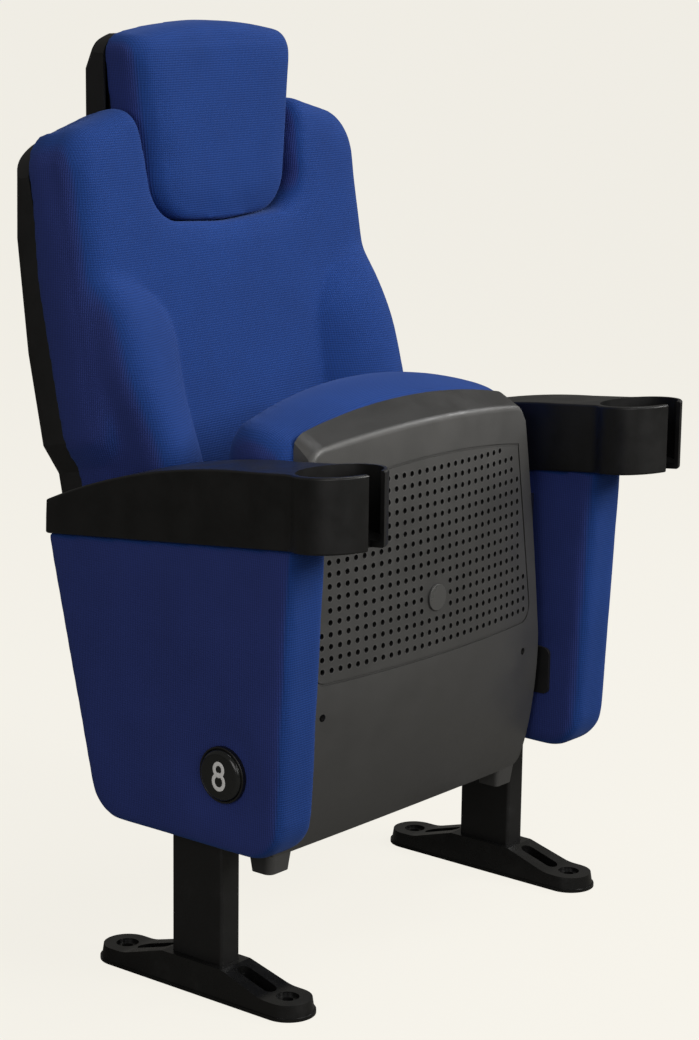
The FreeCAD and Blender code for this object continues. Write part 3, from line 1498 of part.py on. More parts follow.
def bolster_section(side, z, inner, front, outer):
    """Level section of a bolster: full slope inside with a crease at its root, tight roll outside."""
    root = -18
    crest = inner + (outer - inner) * s.bolster_crest_share
    lip = -s.back_cushion_front + 4
    swell = (front + lip) * 0.22
    slope = (side * (inner + crest) / 2, (lip - front) / 2 - swell)
    roll = (side * (crest + (outer - crest) * 0.75), -front + 7)
    return free_sketch("bolster_section", "XY", z, [
        line((side * inner, root), (side * inner, lip)),
        arc((side * inner, lip), slope, (side * crest, -front)),
        arc((side * crest, -front), roll, (side * outer, -front + 26)),
        line((side * outer, -front + 26), (side * outer, root)),
        line((side * outer, root), (side * inner, root)),
    ])


bolsters = []
low_outer = s.back_low_half - 8
top_rise = s.bolster_end_height - s.bolster_high_height
high_width = s.bolster_outer - s.bolster_inner
for side in (-1, 1):
    bolsters.append(loft("bolster", [
        bolster_section(side, 14, s.bolster_inner + 4, s.bolster_low_front - 20, low_outer - 6),
        bolster_section(side, 45, s.bolster_inner, s.bolster_low_front, low_outer),
        bolster_section(side, s.bolster_full_height, s.bolster_inner, s.bolster_full_front, low_outer),
        bolster_section(side, s.bolster_mid_height, s.bolster_inner, s.bolster_mid_front, s.bolster_outer),
        bolster_section(
            side,
            s.bolster_high_height,
            s.bolster_inner + high_width * 0.08,
            s.bolster_high_front,
            s.bolster_outer,
        ),
        bolster_section(
            side,
            s.bolster_high_height + top_rise * 0.5,
            s.bolster_inner + high_width * 0.38,
            (s.bolster_high_front + s.bolster_end_front) / 2,
            s.bolster_outer,
        ),
        bolster_section(
            side,
            s.bolster_end_height,
            s.bolster_inner + high_width * 0.78,
            s.bolster_end_front,
            s.bolster_outer - 2,
        ),
    ]))
back_pillow = fuse("back_pillow", [back_pad] + bolsters)
back_pillow.Placement = BACK
node(cut("back_cushion", back_pillow, headrest_room("headrest_nook", s.headrest_seam_y)))

# Back brackets, spacers and bolts between the columns and the back shell

hanger = new_body("right_back_bracket")
place(hanger, x="Sizes.back_low_half")
turn = s.back_bracket_corner
hanger_outline = rounded([
    (s.back_bracket_front_y, s.back_bracket_low, turn),
    (s.back_bracket_rear_y, s.back_bracket_low, turn),
    (s.back_bracket_rear_y, s.back_bracket_high, turn),
    (s.back_bracket_front_y, s.back_bracket_high, turn),
])
pad(hanger, sketch(hanger, "YZ_Plane", 0, hanger_outline), "Sizes.back_bracket_thickness")
hanger_holes = sketch(hanger, "YZ_Plane", 0, [])
COLUMN_BOLTS = [(s.back_bolt_front_y, s.back_bolt_z), (s.back_bolt_rear_y, s.back_bolt_z)]
for y, z in COLUMN_BOLTS + SHELL_BOLTS:
    add_circle(hanger_holes, y, z, "back_bolt_radius", s.fit_gap)
pocket(hanger, hanger_holes)
both_sides(hanger)

HANGER_OUTER = s.back_low_half + s.back_bracket_thickness
spacers = []
back_bolts = []
for side in (-1, 1):
    for y, z in COLUMN_BOLTS:
        spacer = new_body("back_spacer_%d" % len(spacers))
        spacer.Placement.Base = Vector(HANGER_OUTER if side > 0 else -COLUMN_FACE, y, z)
        tube_ring = sketch(spacer, "YZ_Plane", 0, [])
        add_circle(tube_ring, 0, 0, "back_spacer_radius")
        add_circle(tube_ring, 0, 0, "back_bolt_radius", s.fit_gap)
        span = "(Sizes.column_pitch - Sizes.column_width) / 2"
        pad(spacer, tube_ring, span + " - Sizes.back_low_half - Sizes.back_bracket_thickness")
        spacers.append(spacer)
        back_bolts.append(screw(
            "back_bolt_%d" % len(back_bolts),
            Vector(side * s.back_low_half, y, z),
            SIDEWAYS * side,
            "back_bolt",
            span + " - Sizes.back_low_half + Sizes.column_wall + 6",
        ))
    for y, z in SHELL_BOLTS:
        back_bolts.append(screw(
            "back_bolt_%d" % len(back_bolts),
            Vector(side * HANGER_OUTER, y, z),
            SIDEWAYS * -side,
            "back_bolt",
            "Sizes.back_bracket_thickness + Sizes.back_shell_wall + 8",
        ))
node(group("back_spacers", spacers))
node(group("back_bolts", back_bolts))

# Headrest: shell, board on two bent stays, cushion

head_wall = s.back_shell_wall
seam = s.headrest_seam_y + s.fit_gap


def headrest_levels(wall):
    rear = s.headrest_shell_rear_y
    turn = s.headrest_shell_round
    top = s.headrest_shell_top
    half = s.headrest_shell_half
    return [
        (s.headrest_shell_bottom + wall, half - 16, rear - 6, turn),
        (s.headrest_shell_bottom + 38, half, rear, turn),
        (top - 42, half, rear, turn),
        (top - 18, half, rear - 11, turn),
        (top - wall, half, rear - 28, turn * 0.6),
    ]


head_half = s.headrest_shell_half + 2
head_top = s.headrest_shell_top + 2
head_corner = s.headrest_shell_corner
head_outer = common("head_outer", [
    cup("head_outer_cup", headrest_levels(0), seam, 0),
    shoulders("head_outer_trim", head_half, head_top, head_corner, seam - 9, 99),
])
head_inner = common("head_inner", [
    cup("head_inner_cup", headrest_levels(head_wall), seam - 9, head_wall),
    shoulders("head_inner_trim", head_half - head_wall, head_top - head_wall, head_corner, seam - 9, 99),
])
stay_foot = leaned(s.back_board_thickness, STAY_LOW - 20)
stay_bend = leaned(s.back_board_thickness, s.back_board_top + 4)
STAY_Y = stay_bend[0]
STAY_TOP = s.headrest_shell_top - 30
stay_slots = []
for side in (-1, 1):
    way = doc.addObject("Part::Box", "stay_way")
    way.Length = s.stay_width + 2 * s.fit_gap
    way.Width = STAY_Y + s.stay_thickness + s.fit_gap - seam + 20
    way.Height = 40
    way_x = side * s.stay_half - s.stay_width / 2 - s.fit_gap
    way.Placement.Base = Vector(way_x, seam - 20, s.headrest_shell_bottom - 20)
    stay_slots.append(way)
node(cut("headrest_shell", head_outer, fuse("head_tools", [head_inner] + stay_slots)))

lean = math.radians(s.back_lean)
bend_shift = s.stay_thickness * math.tan(lean / 2)
foot_rear = leaned(s.back_board_thickness + s.stay_thickness, STAY_LOW - 20)
stay_profile = rounded([
    (stay_foot[0], stay_foot[1], 0),
    (foot_rear[0], foot_rear[1], 0),
    (STAY_Y + s.stay_thickness, stay_bend[1] - bend_shift, 0),
    (STAY_Y + s.stay_thickness, STAY_TOP, 0),
    (STAY_Y, STAY_TOP, 0),
    (STAY_Y, stay_bend[1], 0),
])
stays = []
rear_normal = BACK.Rotation.multVec(REARWARD)
for side in (-1, 1):
    stay = new_body("headrest_stay_%d" % len(stays))
    stay.Placement.Base = Vector(side * s.stay_half, 0, 0)
    pad(stay, sketch(stay, "YZ_Plane", 0, stay_profile), "Sizes.stay_width", both=True)
    stay_hole = sketch(stay, "XZ_Plane", 0, [])
    add_circle(stay_hole, 0, STAY_TOP - 20, "stay_screw_radius", s.fit_gap)
    pocket(stay, stay_hole)
    stay_way_start = BACK.multVec(Vector(side * s.stay_half, -20, STAY_LOW))
    stay_hole_radius = "Sizes.stay_screw_radius + Sizes.fit_gap"
    stay_rod = rod("stay_low_hole", stay_hole_radius, "60", stay_way_start, rear_normal)
    stays.append(cut("headrest_stay_drilled_%d" % len(stays), stay, stay_rod))
node(group("headrest_stays", stays))

head_board = new_body("headrest_board")
inset = s.headrest_board_inset
head_board_outline = rounded([
    (-s.headrest_half_low, s.headrest_shell_bottom + inset, 10),
    (s.headrest_half_low, s.headrest_shell_bottom + inset, 10),
    (s.headrest_half_high - inset, s.headrest_shell_top - 14, 24),
    (inset - s.headrest_half_high, s.headrest_shell_top - 14, 24),
])
head_board_sketch = sketch(head_board, "XZ_Plane", -STAY_Y, head_board_outline)
pad(head_board, head_board_sketch, repr(STAY_Y - seam))
head_pilots = sketch(head_board, "XZ_Plane", -STAY_Y, [])
for side in (-1, 1):
    add_circle(head_pilots, side * s.stay_half, STAY_TOP - 20, "stay_screw_radius", s.running_gap)
pocket(head_board, head_pilots, "Sizes.stay_screw_bite + 1", ahead=True)
node(head_board)

stay_screws = []
for side in (-1, 1):
    low_seat = BACK.multVec(Vector(side * s.stay_half, s.back_board_thickness + s.stay_thickness, STAY_LOW))
    high_seat = Vector(side * s.stay_half, STAY_Y + s.stay_thickness, STAY_TOP - 20)
    for seat_point, normal in ((low_seat, rear_normal), (high_seat, REARWARD)):
        stay_screws.append(screw(
            "stay_screw_%d" % len(stay_screws),
            seat_point,
            -normal,
            "stay_screw",
            "Sizes.stay_thickness + Sizes.stay_screw_bite",
        ))
node(group("headrest_screws", stay_screws))


def head_outline(grow):
    """Front outline of the headrest cushion: U-shaped below, wider above, crowned top."""
    low_half = s.headrest_half_low + grow * 1.2
    high_half = s.headrest_half_high + grow
    low = s.headrest_bottom - grow * 0.3
    side_top = s.headrest_side_top + grow * 0.4
    crest = s.headrest_top + min(grow, 0) * 0.6
    frame_edges = rounded([
        (-low_half, low + s.headrest_sag, s.headrest_low_corner),
        (0, low, s.headrest_sag_round),
        (low_half, low + s.headrest_sag, s.headrest_low_corner),
        (high_half, side_top, s.headrest_high_corner),
        (-high_half, side_top, s.headrest_high_corner),
    ])
    top_line = frame_edges[7]
    right_end = (top_line.StartPoint.x, top_line.StartPoint.y)
    left_end = (top_line.EndPoint.x, top_line.EndPoint.y)
    frame_edges[7] = arc(right_end, (0, crest), left_end)
    return frame_edges


front_slope = (s.headrest_front_high_y - s.headrest_front_low_y) / (s.headrest_side_top - s.headrest_bottom)
head_layers = []
for share, grow in ((0.0, 2), (0.35, 2), (0.75, -1), (1.0, -s.headrest_crown)):
    low_y = s.headrest_seam_y + share * (s.headrest_front_low_y - s.headrest_seam_y)
    tilt = -math.degrees(math.atan(front_slope)) * share
    floor_y = low_y + math.tan(math.radians(tilt)) * s.headrest_bottom
    head_layers.append(free_sketch("head_layer", "XZ", floor_y, head_outline(grow), tilt))
tail_room = doc.addObject("Part::Box", "headrest_tail_room")
tail_room.Length = 2 * s.back_half
tail_room.Width = s.back_shell_depth
tail_room.Height = s.back_board_top + s.fit_gap
tail_room.Placement = BACK.multiply(Placement(Vector(-s.back_half, -s.fit_gap, 0), NO_TURN))
node(cut("headrest_cushion", loft("headrest_pillow", head_layers), tail_room))

# Every piece is checked and written out under its own name

doc.recompute()
faulty = []
for made in doc.Objects:
    if "Invalid" in made.State or "Error" in made.State:
        faulty.append(made.Label)
for made in NODES:
    if made.Shape.isNull() or not made.Shape.isValid() or not made.Shape.Solids:
        faulty.append(made.Label)
if faulty:
    raise ValueError("faulty: " + ", ".join(faulty))
os.makedirs("parts", exist_ok=True)
for made in NODES:
    made.Shape.exportStep(os.path.join("parts", made.Label + ".step"))
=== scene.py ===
import bmesh
import bpy
import json
import math
import numpy
from mathutils import Matrix, Vector


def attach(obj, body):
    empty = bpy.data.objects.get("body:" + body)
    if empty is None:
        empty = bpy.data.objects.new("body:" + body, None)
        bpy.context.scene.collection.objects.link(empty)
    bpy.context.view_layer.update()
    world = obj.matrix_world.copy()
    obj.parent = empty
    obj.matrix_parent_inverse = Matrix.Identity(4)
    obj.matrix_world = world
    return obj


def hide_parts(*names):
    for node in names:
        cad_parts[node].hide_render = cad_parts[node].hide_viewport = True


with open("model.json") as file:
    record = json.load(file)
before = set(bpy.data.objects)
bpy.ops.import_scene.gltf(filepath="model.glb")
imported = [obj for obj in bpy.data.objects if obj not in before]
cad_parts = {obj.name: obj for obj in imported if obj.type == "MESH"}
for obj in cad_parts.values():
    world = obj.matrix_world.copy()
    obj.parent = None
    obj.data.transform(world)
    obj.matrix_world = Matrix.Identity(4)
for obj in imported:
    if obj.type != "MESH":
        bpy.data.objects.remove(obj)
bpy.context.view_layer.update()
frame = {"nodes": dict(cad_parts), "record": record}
nodes = frame["nodes"]
scene = bpy.context.scene
scene.view_settings.view_transform = "Standard"

# Camera of the photograph: place, direction and lens.

CAMERA_PLACE = (-2.5148, -2.0751, 1.2359)
CAMERA_AZIMUTH = -50.731
CAMERA_ELEVATION = 12.604
CAMERA_ROLL = 0.765
CAMERA_LENS = 94.66
SENSOR_WIDTH = 36


def add_camera():
    azimuth = math.radians(CAMERA_AZIMUTH)
    elevation = math.radians(CAMERA_ELEVATION)
    roll = math.radians(CAMERA_ROLL)
    back = Vector((
        math.sin(azimuth) * math.cos(elevation),
        -math.cos(azimuth) * math.cos(elevation),
        math.sin(elevation),
    ))
    right = Vector((math.cos(azimuth), math.sin(azimuth), 0))
    up = back.cross(right)
    turned_right = right * math.cos(roll) + up * math.sin(roll)
    turned_up = up * math.cos(roll) - right * math.sin(roll)
    data = bpy.data.cameras.new("camera")
    data.sensor_width = SENSOR_WIDTH
    data.lens = CAMERA_LENS
    camera = bpy.data.objects.new("camera", data)
    scene.collection.objects.link(camera)
    turn = Matrix((turned_right, turned_up, back)).transposed()
    camera.matrix_world = Matrix.Translation(CAMERA_PLACE) @ turn.to_4x4()
    scene.camera = camera


# Node helpers


def new_material(name):
    material = bpy.data.materials.new(name)
    material.use_nodes = True
    tree = material.node_tree
    return material, tree, tree.nodes["Principled BSDF"]


def link(tree, source, target):
    tree.links.new(source, target)


def maths(tree, operation, first, second=None):
    """Math node whose inputs are sockets or numbers; gives its output socket."""
    made = tree.nodes.new("ShaderNodeMath")
    made.operation = operation
    for index, value in enumerate((first, second)):
        if value is None:
            continue
        if isinstance(value, (int, float)):
            made.inputs[index].default_value = value
        else:
            link(tree, value, made.inputs[index])
    return made.outputs[0]


def object_place(tree):
    return tree.nodes.new("ShaderNodeTexCoord").outputs["Object"]


def place_and_facing(tree):
    """Object coordinates, the same by axis, and the direction of the surface by axis."""
    source = tree.nodes.new("ShaderNodeTexCoord").outputs
    by_axis = []
    for output in ("Object", "Normal"):
        made = tree.nodes.new("ShaderNodeSeparateXYZ")
        link(tree, source[output], made.inputs["Vector"])
        by_axis.append(made.outputs)
    return source["Object"], by_axis[0], by_axis[1]


def stretched_place(tree, scale):
    """Object coordinates with their own scale along each axis."""
    made = tree.nodes.new("ShaderNodeMapping")
    made.inputs["Scale"].default_value = scale
    link(tree, object_place(tree), made.inputs["Vector"])
    return made.outputs["Vector"]


def noise(tree, coordinates, scale, detail=2.0, roughness=0.5):
    made = tree.nodes.new("ShaderNodeTexNoise")
    made.inputs["Scale"].default_value = scale
    made.inputs["Detail"].default_value = detail
    made.inputs["Roughness"].default_value = roughness
    link(tree, coordinates, made.inputs["Vector"])
    return made.outputs["Fac"]


def blend_colour(tree, factor, dark, light):
    """Mix of two colours, each a triple of numbers or a socket."""
    made = tree.nodes.new("ShaderNodeMix")
    made.data_type = "RGBA"
    link(tree, factor, made.inputs["Factor"])
    for side, colour in (("A", dark), ("B", light)):
        if isinstance(colour, tuple):
            made.inputs[side].default_value = (*colour, 1)
        else:
            link(tree, colour, made.inputs[side])
    return made.outputs["Result"]


def ramp(tree, value, low, high, low_out=0.0, high_out=1.0):
    made = tree.nodes.new("ShaderNodeMapRange")
    made.interpolation_type = "SMOOTHSTEP"
    made.inputs["From Min"].default_value = low
    made.inputs["From Max"].default_value = high
    made.inputs["To Min"].default_value = low_out
    made.inputs["To Max"].default_value = high_out
    link(tree, value, made.inputs["Value"])
    return made.outputs["Result"]


def bump(tree, shader, height, distance, strength):
    made = tree.nodes.new("ShaderNodeBump")
    made.inputs["Distance"].default_value = distance
    made.inputs["Strength"].default_value = strength
    link(tree, height, made.inputs["Height"])
    link(tree, made.outputs["Normal"], shader.inputs["Normal"])


# Finishes

RIB_PITCH = 0.0028
THREAD_PITCH = 0.0027
WEAVE_TURN = (0.62, 0.82)
# Painted shade: how far a surface must face sideways before the weave takes its violet shaded copy.
PAINTED_SHADE_TURN = (0.72, 0.97)
RIB_HEIGHT = (0.30, 0.14)
THREAD_HEIGHT = (0.18, 0.36)
WEAVE_MIDDLE = 0.5
NAP_HEIGHT = 0.3
HEIGHT_IN_TONE = 0.55
CLOUD_IN_TONE = 0.35
SHEEN_BLUE = (0.25, 0.4, 1.0, 1)
FINE_GRAIN = 1100
GRAIN_DEPTH = 0.00012
# Painted highlight on the pan: paler towards the ridge, between these heights.
PAINTED_HIGHLIGHT_HEIGHTS = (0.52, 0.66)
PAINTED_HIGHLIGHT_TONE = 1.55
# Painted shade on the pan: darker where its rolled top faces up.
PAINTED_TOP_SHADE_TURN = (0.55, 0.85)
PAINTED_TOP_SHADE_TONE = 0.28
BRUSHING = (900, 900, 60)
BRUSHED_DARK = 0.75
PLY_GRAIN = (160, 160, 8)
PLY_DARK = (0.010, 0.008, 0.006)
PLY_LIGHT = (0.026, 0.020, 0.015)


def woven_upholstery(name, deep, bright, shade_violet_deep, shade_violet_bright):
    """Blue weave: level ribs crossed by upright threads; sideways-facing surfaces get a violet copy
    of the colour as painted shade.
    """
    material, tree, shader = new_material(name)
    place, axes, facing = place_and_facing(tree)
    side = maths(tree, "ABSOLUTE", facing["X"])
    lying = ramp(tree, maths(tree, "ABSOLUTE", facing["Z"]), *WEAVE_TURN)
    sideways = ramp(tree, side, *WEAVE_TURN)

    def strands(axis, pitch):
        return maths(tree, "SINE", maths(tree, "MULTIPLY", axes[axis], 2 * math.pi / pitch))

    def either(share, first, second):
        rest = maths(tree, "MULTIPLY", maths(tree, "SUBTRACT", 1.0, share), first)
        return maths(tree, "ADD", rest, maths(tree, "MULTIPLY", share, second))

    ribs = either(lying, strands("Z", RIB_PITCH), strands("Y", RIB_PITCH))
    threads = either(sideways, strands("X", THREAD_PITCH), strands("Y", THREAD_PITCH))
    level = maths(tree, "MULTIPLY", ribs, ramp(tree, sideways, 0, 1, *RIB_HEIGHT))
    upright = maths(tree, "MULTIPLY", threads, ramp(tree, sideways, 0, 1, *THREAD_HEIGHT))
    weave = maths(tree, "ADD", maths(tree, "ADD", level, upright), WEAVE_MIDDLE)
    nap = noise(tree, place, scale=900)
    cloud = noise(tree, place, scale=14, detail=3)
    height = maths(tree, "ADD", weave, maths(tree, "MULTIPLY", nap, NAP_HEIGHT))
    height_tone = maths(tree, "MULTIPLY", height, HEIGHT_IN_TONE)
    tone = maths(tree, "ADD", height_tone, maths(tree, "MULTIPLY", cloud, CLOUD_IN_TONE))
    front_colour = blend_colour(tree, tone, deep, bright)
    # Painted shade: a violet copy of the colour on surfaces facing sideways, standing in for their
    # shade.
    painted_shade_colour = blend_colour(tree, tone, shade_violet_deep, shade_violet_bright)
    colour = blend_colour(tree, ramp(tree, side, *PAINTED_SHADE_TURN), front_colour, painted_shade_colour)
    link(tree, colour, shader.inputs["Base Color"])
    matt = ramp(tree, nap, 0.3, 0.7, low_out=0.78, high_out=0.95)
    link(tree, matt, shader.inputs["Roughness"])
    bump(tree, shader, height, distance=0.0006, strength=0.55)
    shader.inputs["Sheen Weight"].default_value = 0.18
    shader.inputs["Sheen Roughness"].default_value = 0.45
    shader.inputs["Sheen Tint"].default_value = SHEEN_BLUE
    shader.inputs["Specular IOR Level"].default_value = 0.25
    return material


def spark_grain(tree, shader, place, gloss, grain=FINE_GRAIN, depth=GRAIN_DEPTH):
    """Fine spark-eroded grain and faint handling marks; gives the socket of the marks."""
    marks = noise(tree, place, scale=22, detail=4, roughness=0.6)
    matt = ramp(tree, marks, 0.3, 0.7, low_out=gloss - 0.06, high_out=gloss + 0.08)
    link(tree, matt, shader.inputs["Roughness"])
    bump(tree, shader, noise(tree, place, scale=grain), distance=depth, strength=0.5)
    return marks


def moulded_plastic(name, dark, light, gloss, grain=FINE_GRAIN, depth=GRAIN_DEPTH):
    """Moulded plastic with its grain and handling marks."""
    material, tree, shader = new_material(name)
    marks = spark_grain(tree, shader, object_place(tree), gloss, grain, depth)
    link(tree, blend_colour(tree, marks, dark, light), shader.inputs["Base Color"])
    return material


def pan_plastic(name, dark, light, gloss):
    """Grained pan plastic, with a painted highlight paler towards the ridge and painted shade darker
    on the rolled top where it faces up.
    """
    material, tree, shader = new_material(name)
    place, axes, facing = place_and_facing(tree)
    marks = spark_grain(tree, shader, place, gloss)
    # Painted highlight: the base colour grows paler towards the ridge.
    painted_highlight = ramp(tree, axes["Z"], *PAINTED_HIGHLIGHT_HEIGHTS, low_out=1.0, high_out=PAINTED_HIGHLIGHT_TONE)
    # Painted shade: the base colour grows darker where the surface faces up.
    painted_top_shade = ramp(tree, facing["Z"], *PAINTED_TOP_SHADE_TURN, low_out=1.0, high_out=PAINTED_TOP_SHADE_TONE)
    tint = tree.nodes.new("ShaderNodeVectorMath")
    tint.operation = "SCALE"
    link(tree, blend_colour(tree, marks, dark, light), tint.inputs[0])
    link(tree, maths(tree, "MULTIPLY", painted_highlight, painted_top_shade), tint.inputs["Scale"])
    link(tree, tint.outputs["Vector"], shader.inputs["Base Color"])
    return material


def painted_steel(name, dark, light, gloss):
    """Powder-coated steel: slight orange peel, worn a little paler in patches."""
    material, tree, shader = new_material(name)
    place = object_place(tree)
    peel = noise(tree, place, scale=420, detail=1)
    wear = noise(tree, place, scale=30, detail=5, roughness=0.65)
    worn = ramp(tree, wear, 0.55, 0.8)
    link(tree, blend_colour(tree, worn, dark, light), shader.inputs["Base Color"])
    matt = ramp(tree, wear, 0.35, 0.75, low_out=gloss, high_out=gloss + 0.14)
    link(tree, matt, shader.inputs["Roughness"])
    bump(tree, shader, peel, distance=0.00015, strength=0.4)
    return material


def bare_steel(name, tone, gloss):
    """Brushed, oiled steel with fine lines along the height."""
    material, tree, shader = new_material(name)
    lines = noise(tree, stretched_place(tree, BRUSHING), scale=1.0, detail=3)
    dark = tuple(value * BRUSHED_DARK for value in tone)
    link(tree, blend_colour(tree, lines, dark, tone), shader.inputs["Base Color"])
    matt = ramp(tree, lines, 0.3, 0.7, low_out=gloss - 0.05, high_out=gloss + 0.1)
    link(tree, matt, shader.inputs["Roughness"])
    bump(tree, shader, lines, distance=0.00008, strength=0.4)
    shader.inputs["Metallic"].default_value = 1.0
    return material


def stained_plywood(name):
    """Dark-stained plywood: long grain with darker streaks."""
    material, tree, shader = new_material(name)
    grain = noise(tree, stretched_place(tree, PLY_GRAIN), scale=1.0, detail=5, roughness=0.6)
    link(tree, blend_colour(tree, grain, PLY_DARK, PLY_LIGHT), shader.inputs["Base Color"])
    matt = ramp(tree, grain, 0.3, 0.7, low_out=0.55, high_out=0.75)
    link(tree, matt, shader.inputs["Roughness"])
    bump(tree, shader, grain, distance=0.0002, strength=0.4)
    return material


# Modelling helpers

WELD = 0.00002


def only(made):
    """Make one object the selected and active one."""
    bpy.ops.object.select_all(action="DESELECT")
    made.select_set(True)
    bpy.context.view_layer.objects.active = made


def apply(made, modifier):
    only(made)
    bpy.ops.object.modifier_apply(modifier=modifier.name)


def settle(made):
    """Put an object's place into its mesh."""
    only(made)
    bpy.ops.object.transform_apply(location=True, rotation=True, scale=True)


def pick(made, kind, wanted):
    """In edit mode, select the vertices, edges or faces for which wanted(element) holds."""
    bpy.ops.mesh.select_all(action="DESELECT")
    bpy.ops.mesh.select_mode(type=kind)
    mesh = bmesh.from_edit_mesh(made.data)
    for element in {"VERT": mesh.verts, "EDGE": mesh.edges, "FACE": mesh.faces}[kind]:
        if wanted(element):
            element.select_set(True)
    mesh.select_flush_mode()
    bmesh.update_edit_mesh(made.data)


def copy_of(node, name):
    """Closed copy of a CAD node's mesh as a new piece."""
    made = bpy.data.objects.new(name, nodes[node].data.copy())
    scene.collection.objects.link(made)
    made.data.materials.clear()
    only(made)
    bpy.ops.object.mode_set(mode="EDIT")
    bpy.ops.mesh.select_all(action="SELECT")
    bpy.ops.mesh.remove_doubles(threshold=WELD)
    bpy.ops.object.mode_set(mode="OBJECT")
    return made


def finish_piece(made, body, material, smooth=True):
    made.data.materials.clear()
    made.data.materials.append(material)
    only(made)
    if smooth:
        bpy.ops.object.shade_smooth()
    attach(made, body)


# Padded pieces

VOXEL = 0.006
BACK_VOXEL = 0.005
HEAD_VOXEL = 0.0045
SEAT_SWELL = 0.007
BACK_SWELL = 0.005
HEAD_SWELL = 0.006
SIDE_SWELL = 0.0035
SMOOTH_FACTOR = 0.5
RELAX_ROUNDS = 2
SIM_FRAMES = 20
SIM_QUALITY = 5
SWELL_PASSES = 24
STUFFING_PRESSURE = 4.0
COVER_STRETCH = 20
COVER_SHEAR = 8
COVER_BENDING = 1.0


def even_field(made, values, passes):
    """Average a value at each vertex with those of its neighbours, several times over."""
    ends = numpy.array([edge.vertices[:] for edge in made.data.edges])
    count = numpy.bincount(ends.ravel(), minlength=len(values))
    for _ in range(passes):
        total = numpy.zeros(len(values))
        numpy.add.at(total, ends[:, 0], values[ends[:, 1]])
        numpy.add.at(total, ends[:, 1], values[ends[:, 0]])
        values = (values + total / count) / 2
    return values


def swell_cover(made, most):
    """Press the cover out by cloth simulation: it only moves outwards, and at most so far."""
    start = [vertex.co.copy() for vertex in made.data.vertices]
    outward = [vertex.normal.copy() for vertex in made.data.vertices]
    scene.frame_set(1)
    cloth = made.modifiers.new("stuffing", "CLOTH")
    cloth.settings.use_pressure = True
    cloth.settings.uniform_pressure_force = STUFFING_PRESSURE
    cloth.settings.quality = SIM_QUALITY
    cloth.settings.tension_stiffness = COVER_STRETCH
    cloth.settings.compression_stiffness = COVER_STRETCH
    cloth.settings.shear_stiffness = COVER_SHEAR
    cloth.settings.bending_stiffness = COVER_BENDING
    cloth.settings.effector_weights.gravity = 0
    cloth.collision_settings.use_collision = False
    cloth.collision_settings.use_self_collision = False
    for step in range(1, SIM_FRAMES + 1):
        scene.frame_set(step)
    apply(made, cloth)
    scene.frame_set(1)
    swell = numpy.array([
        min(max((vertex.co - was).dot(out), 0), most)
        for vertex, was, out in zip(made.data.vertices, start, outward)
    ])
    swell = even_field(made, swell, SWELL_PASSES)
    for vertex, was, out, rise in zip(made.data.vertices, start, outward, swell):
        vertex.co = was + out * float(rise)


def stuff(made, most, voxel=VOXEL):
    """Give a pad an even mesh and a swollen cover."""
    remesh = made.modifiers.new("even_mesh", "REMESH")
    remesh.mode = "VOXEL"
    remesh.voxel_size = voxel
    apply(made, remesh)
    relax = made.modifiers.new("relax", "SMOOTH")
    relax.factor = SMOOTH_FACTOR
    relax.iterations = RELAX_ROUNDS
    apply(made, relax)
    swell_cover(made, most)
    fine = made.modifiers.new("fine", "SUBSURF")
    fine.levels = 1
    fine.render_levels = 1
    apply(made, fine)


def make_seat_pad(fabric):
    pad = copy_of("seat_cushion", "seat_pad")
    stuff(pad, SEAT_SWELL)
    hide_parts("seat_cushion")
    finish_piece(pad, "seat", fabric)


# Back pad: the pairs are where a soft step starts and ends, along the back's own directions.

BACK_FOOT = Vector((0, 0.1547, 0.430))
BACK_LEAN = math.radians(12.2)
BACK_AHEAD = Vector((0, -math.cos(BACK_LEAN), math.sin(BACK_LEAN)))
BACK_UP = Vector((0, math.sin(BACK_LEAN), math.cos(BACK_LEAN)))
CORNER_AHEAD = (0.034, 0.056)
CORNER_OUTSIDE = (0.165, 0.205)
CORNER_TOP = (0.455, 0.50)
CORNER_ROUNDS = 180
WRAP_OUT = 0.0050
WRAP_BACK = 0.0135
WRAP_FACING = (0.3, 0.6)
WRAP_OUTSIDE = (0.18, 0.22)
WRAP_TOP = (0.36, 0.50)
WRAP_OUT_AHEAD = (0.014, 0.045)
WRAP_BACK_AHEAD = (0.001, 0.032)


def eased(value, low, high):
    """Soft step from 0 at low to 1 at high."""
    share = min(max((value - low) / (high - low), 0), 1)
    return share * share * (3 - 2 * share)


def soften(made, name, share, rounds):
    """Round a pad where share(place) is above zero."""
    group = made.vertex_groups.new(name=name)
    for vertex in made.data.vertices:
        weight = share(vertex.co)
        if weight > 0:
            group.add([vertex.index], weight, "REPLACE")
    smooth = made.modifiers.new(name, "SMOOTH")
    smooth.factor = SMOOTH_FACTOR
    smooth.iterations = rounds
    smooth.vertex_group = name
    apply(made, smooth)
    made.vertex_groups.clear()


def bolster_corner(place):
    """Outer edge of each bolster, and the run-out of its top into the shoulder."""
    from_foot = place - BACK_FOOT
    ahead = eased(from_foot.dot(BACK_AHEAD), *CORNER_AHEAD)
    outside = eased(abs(place.x), *CORNER_OUTSIDE)
    return ahead * outside * (1 - eased(from_foot.dot(BACK_UP), *CORNER_TOP))


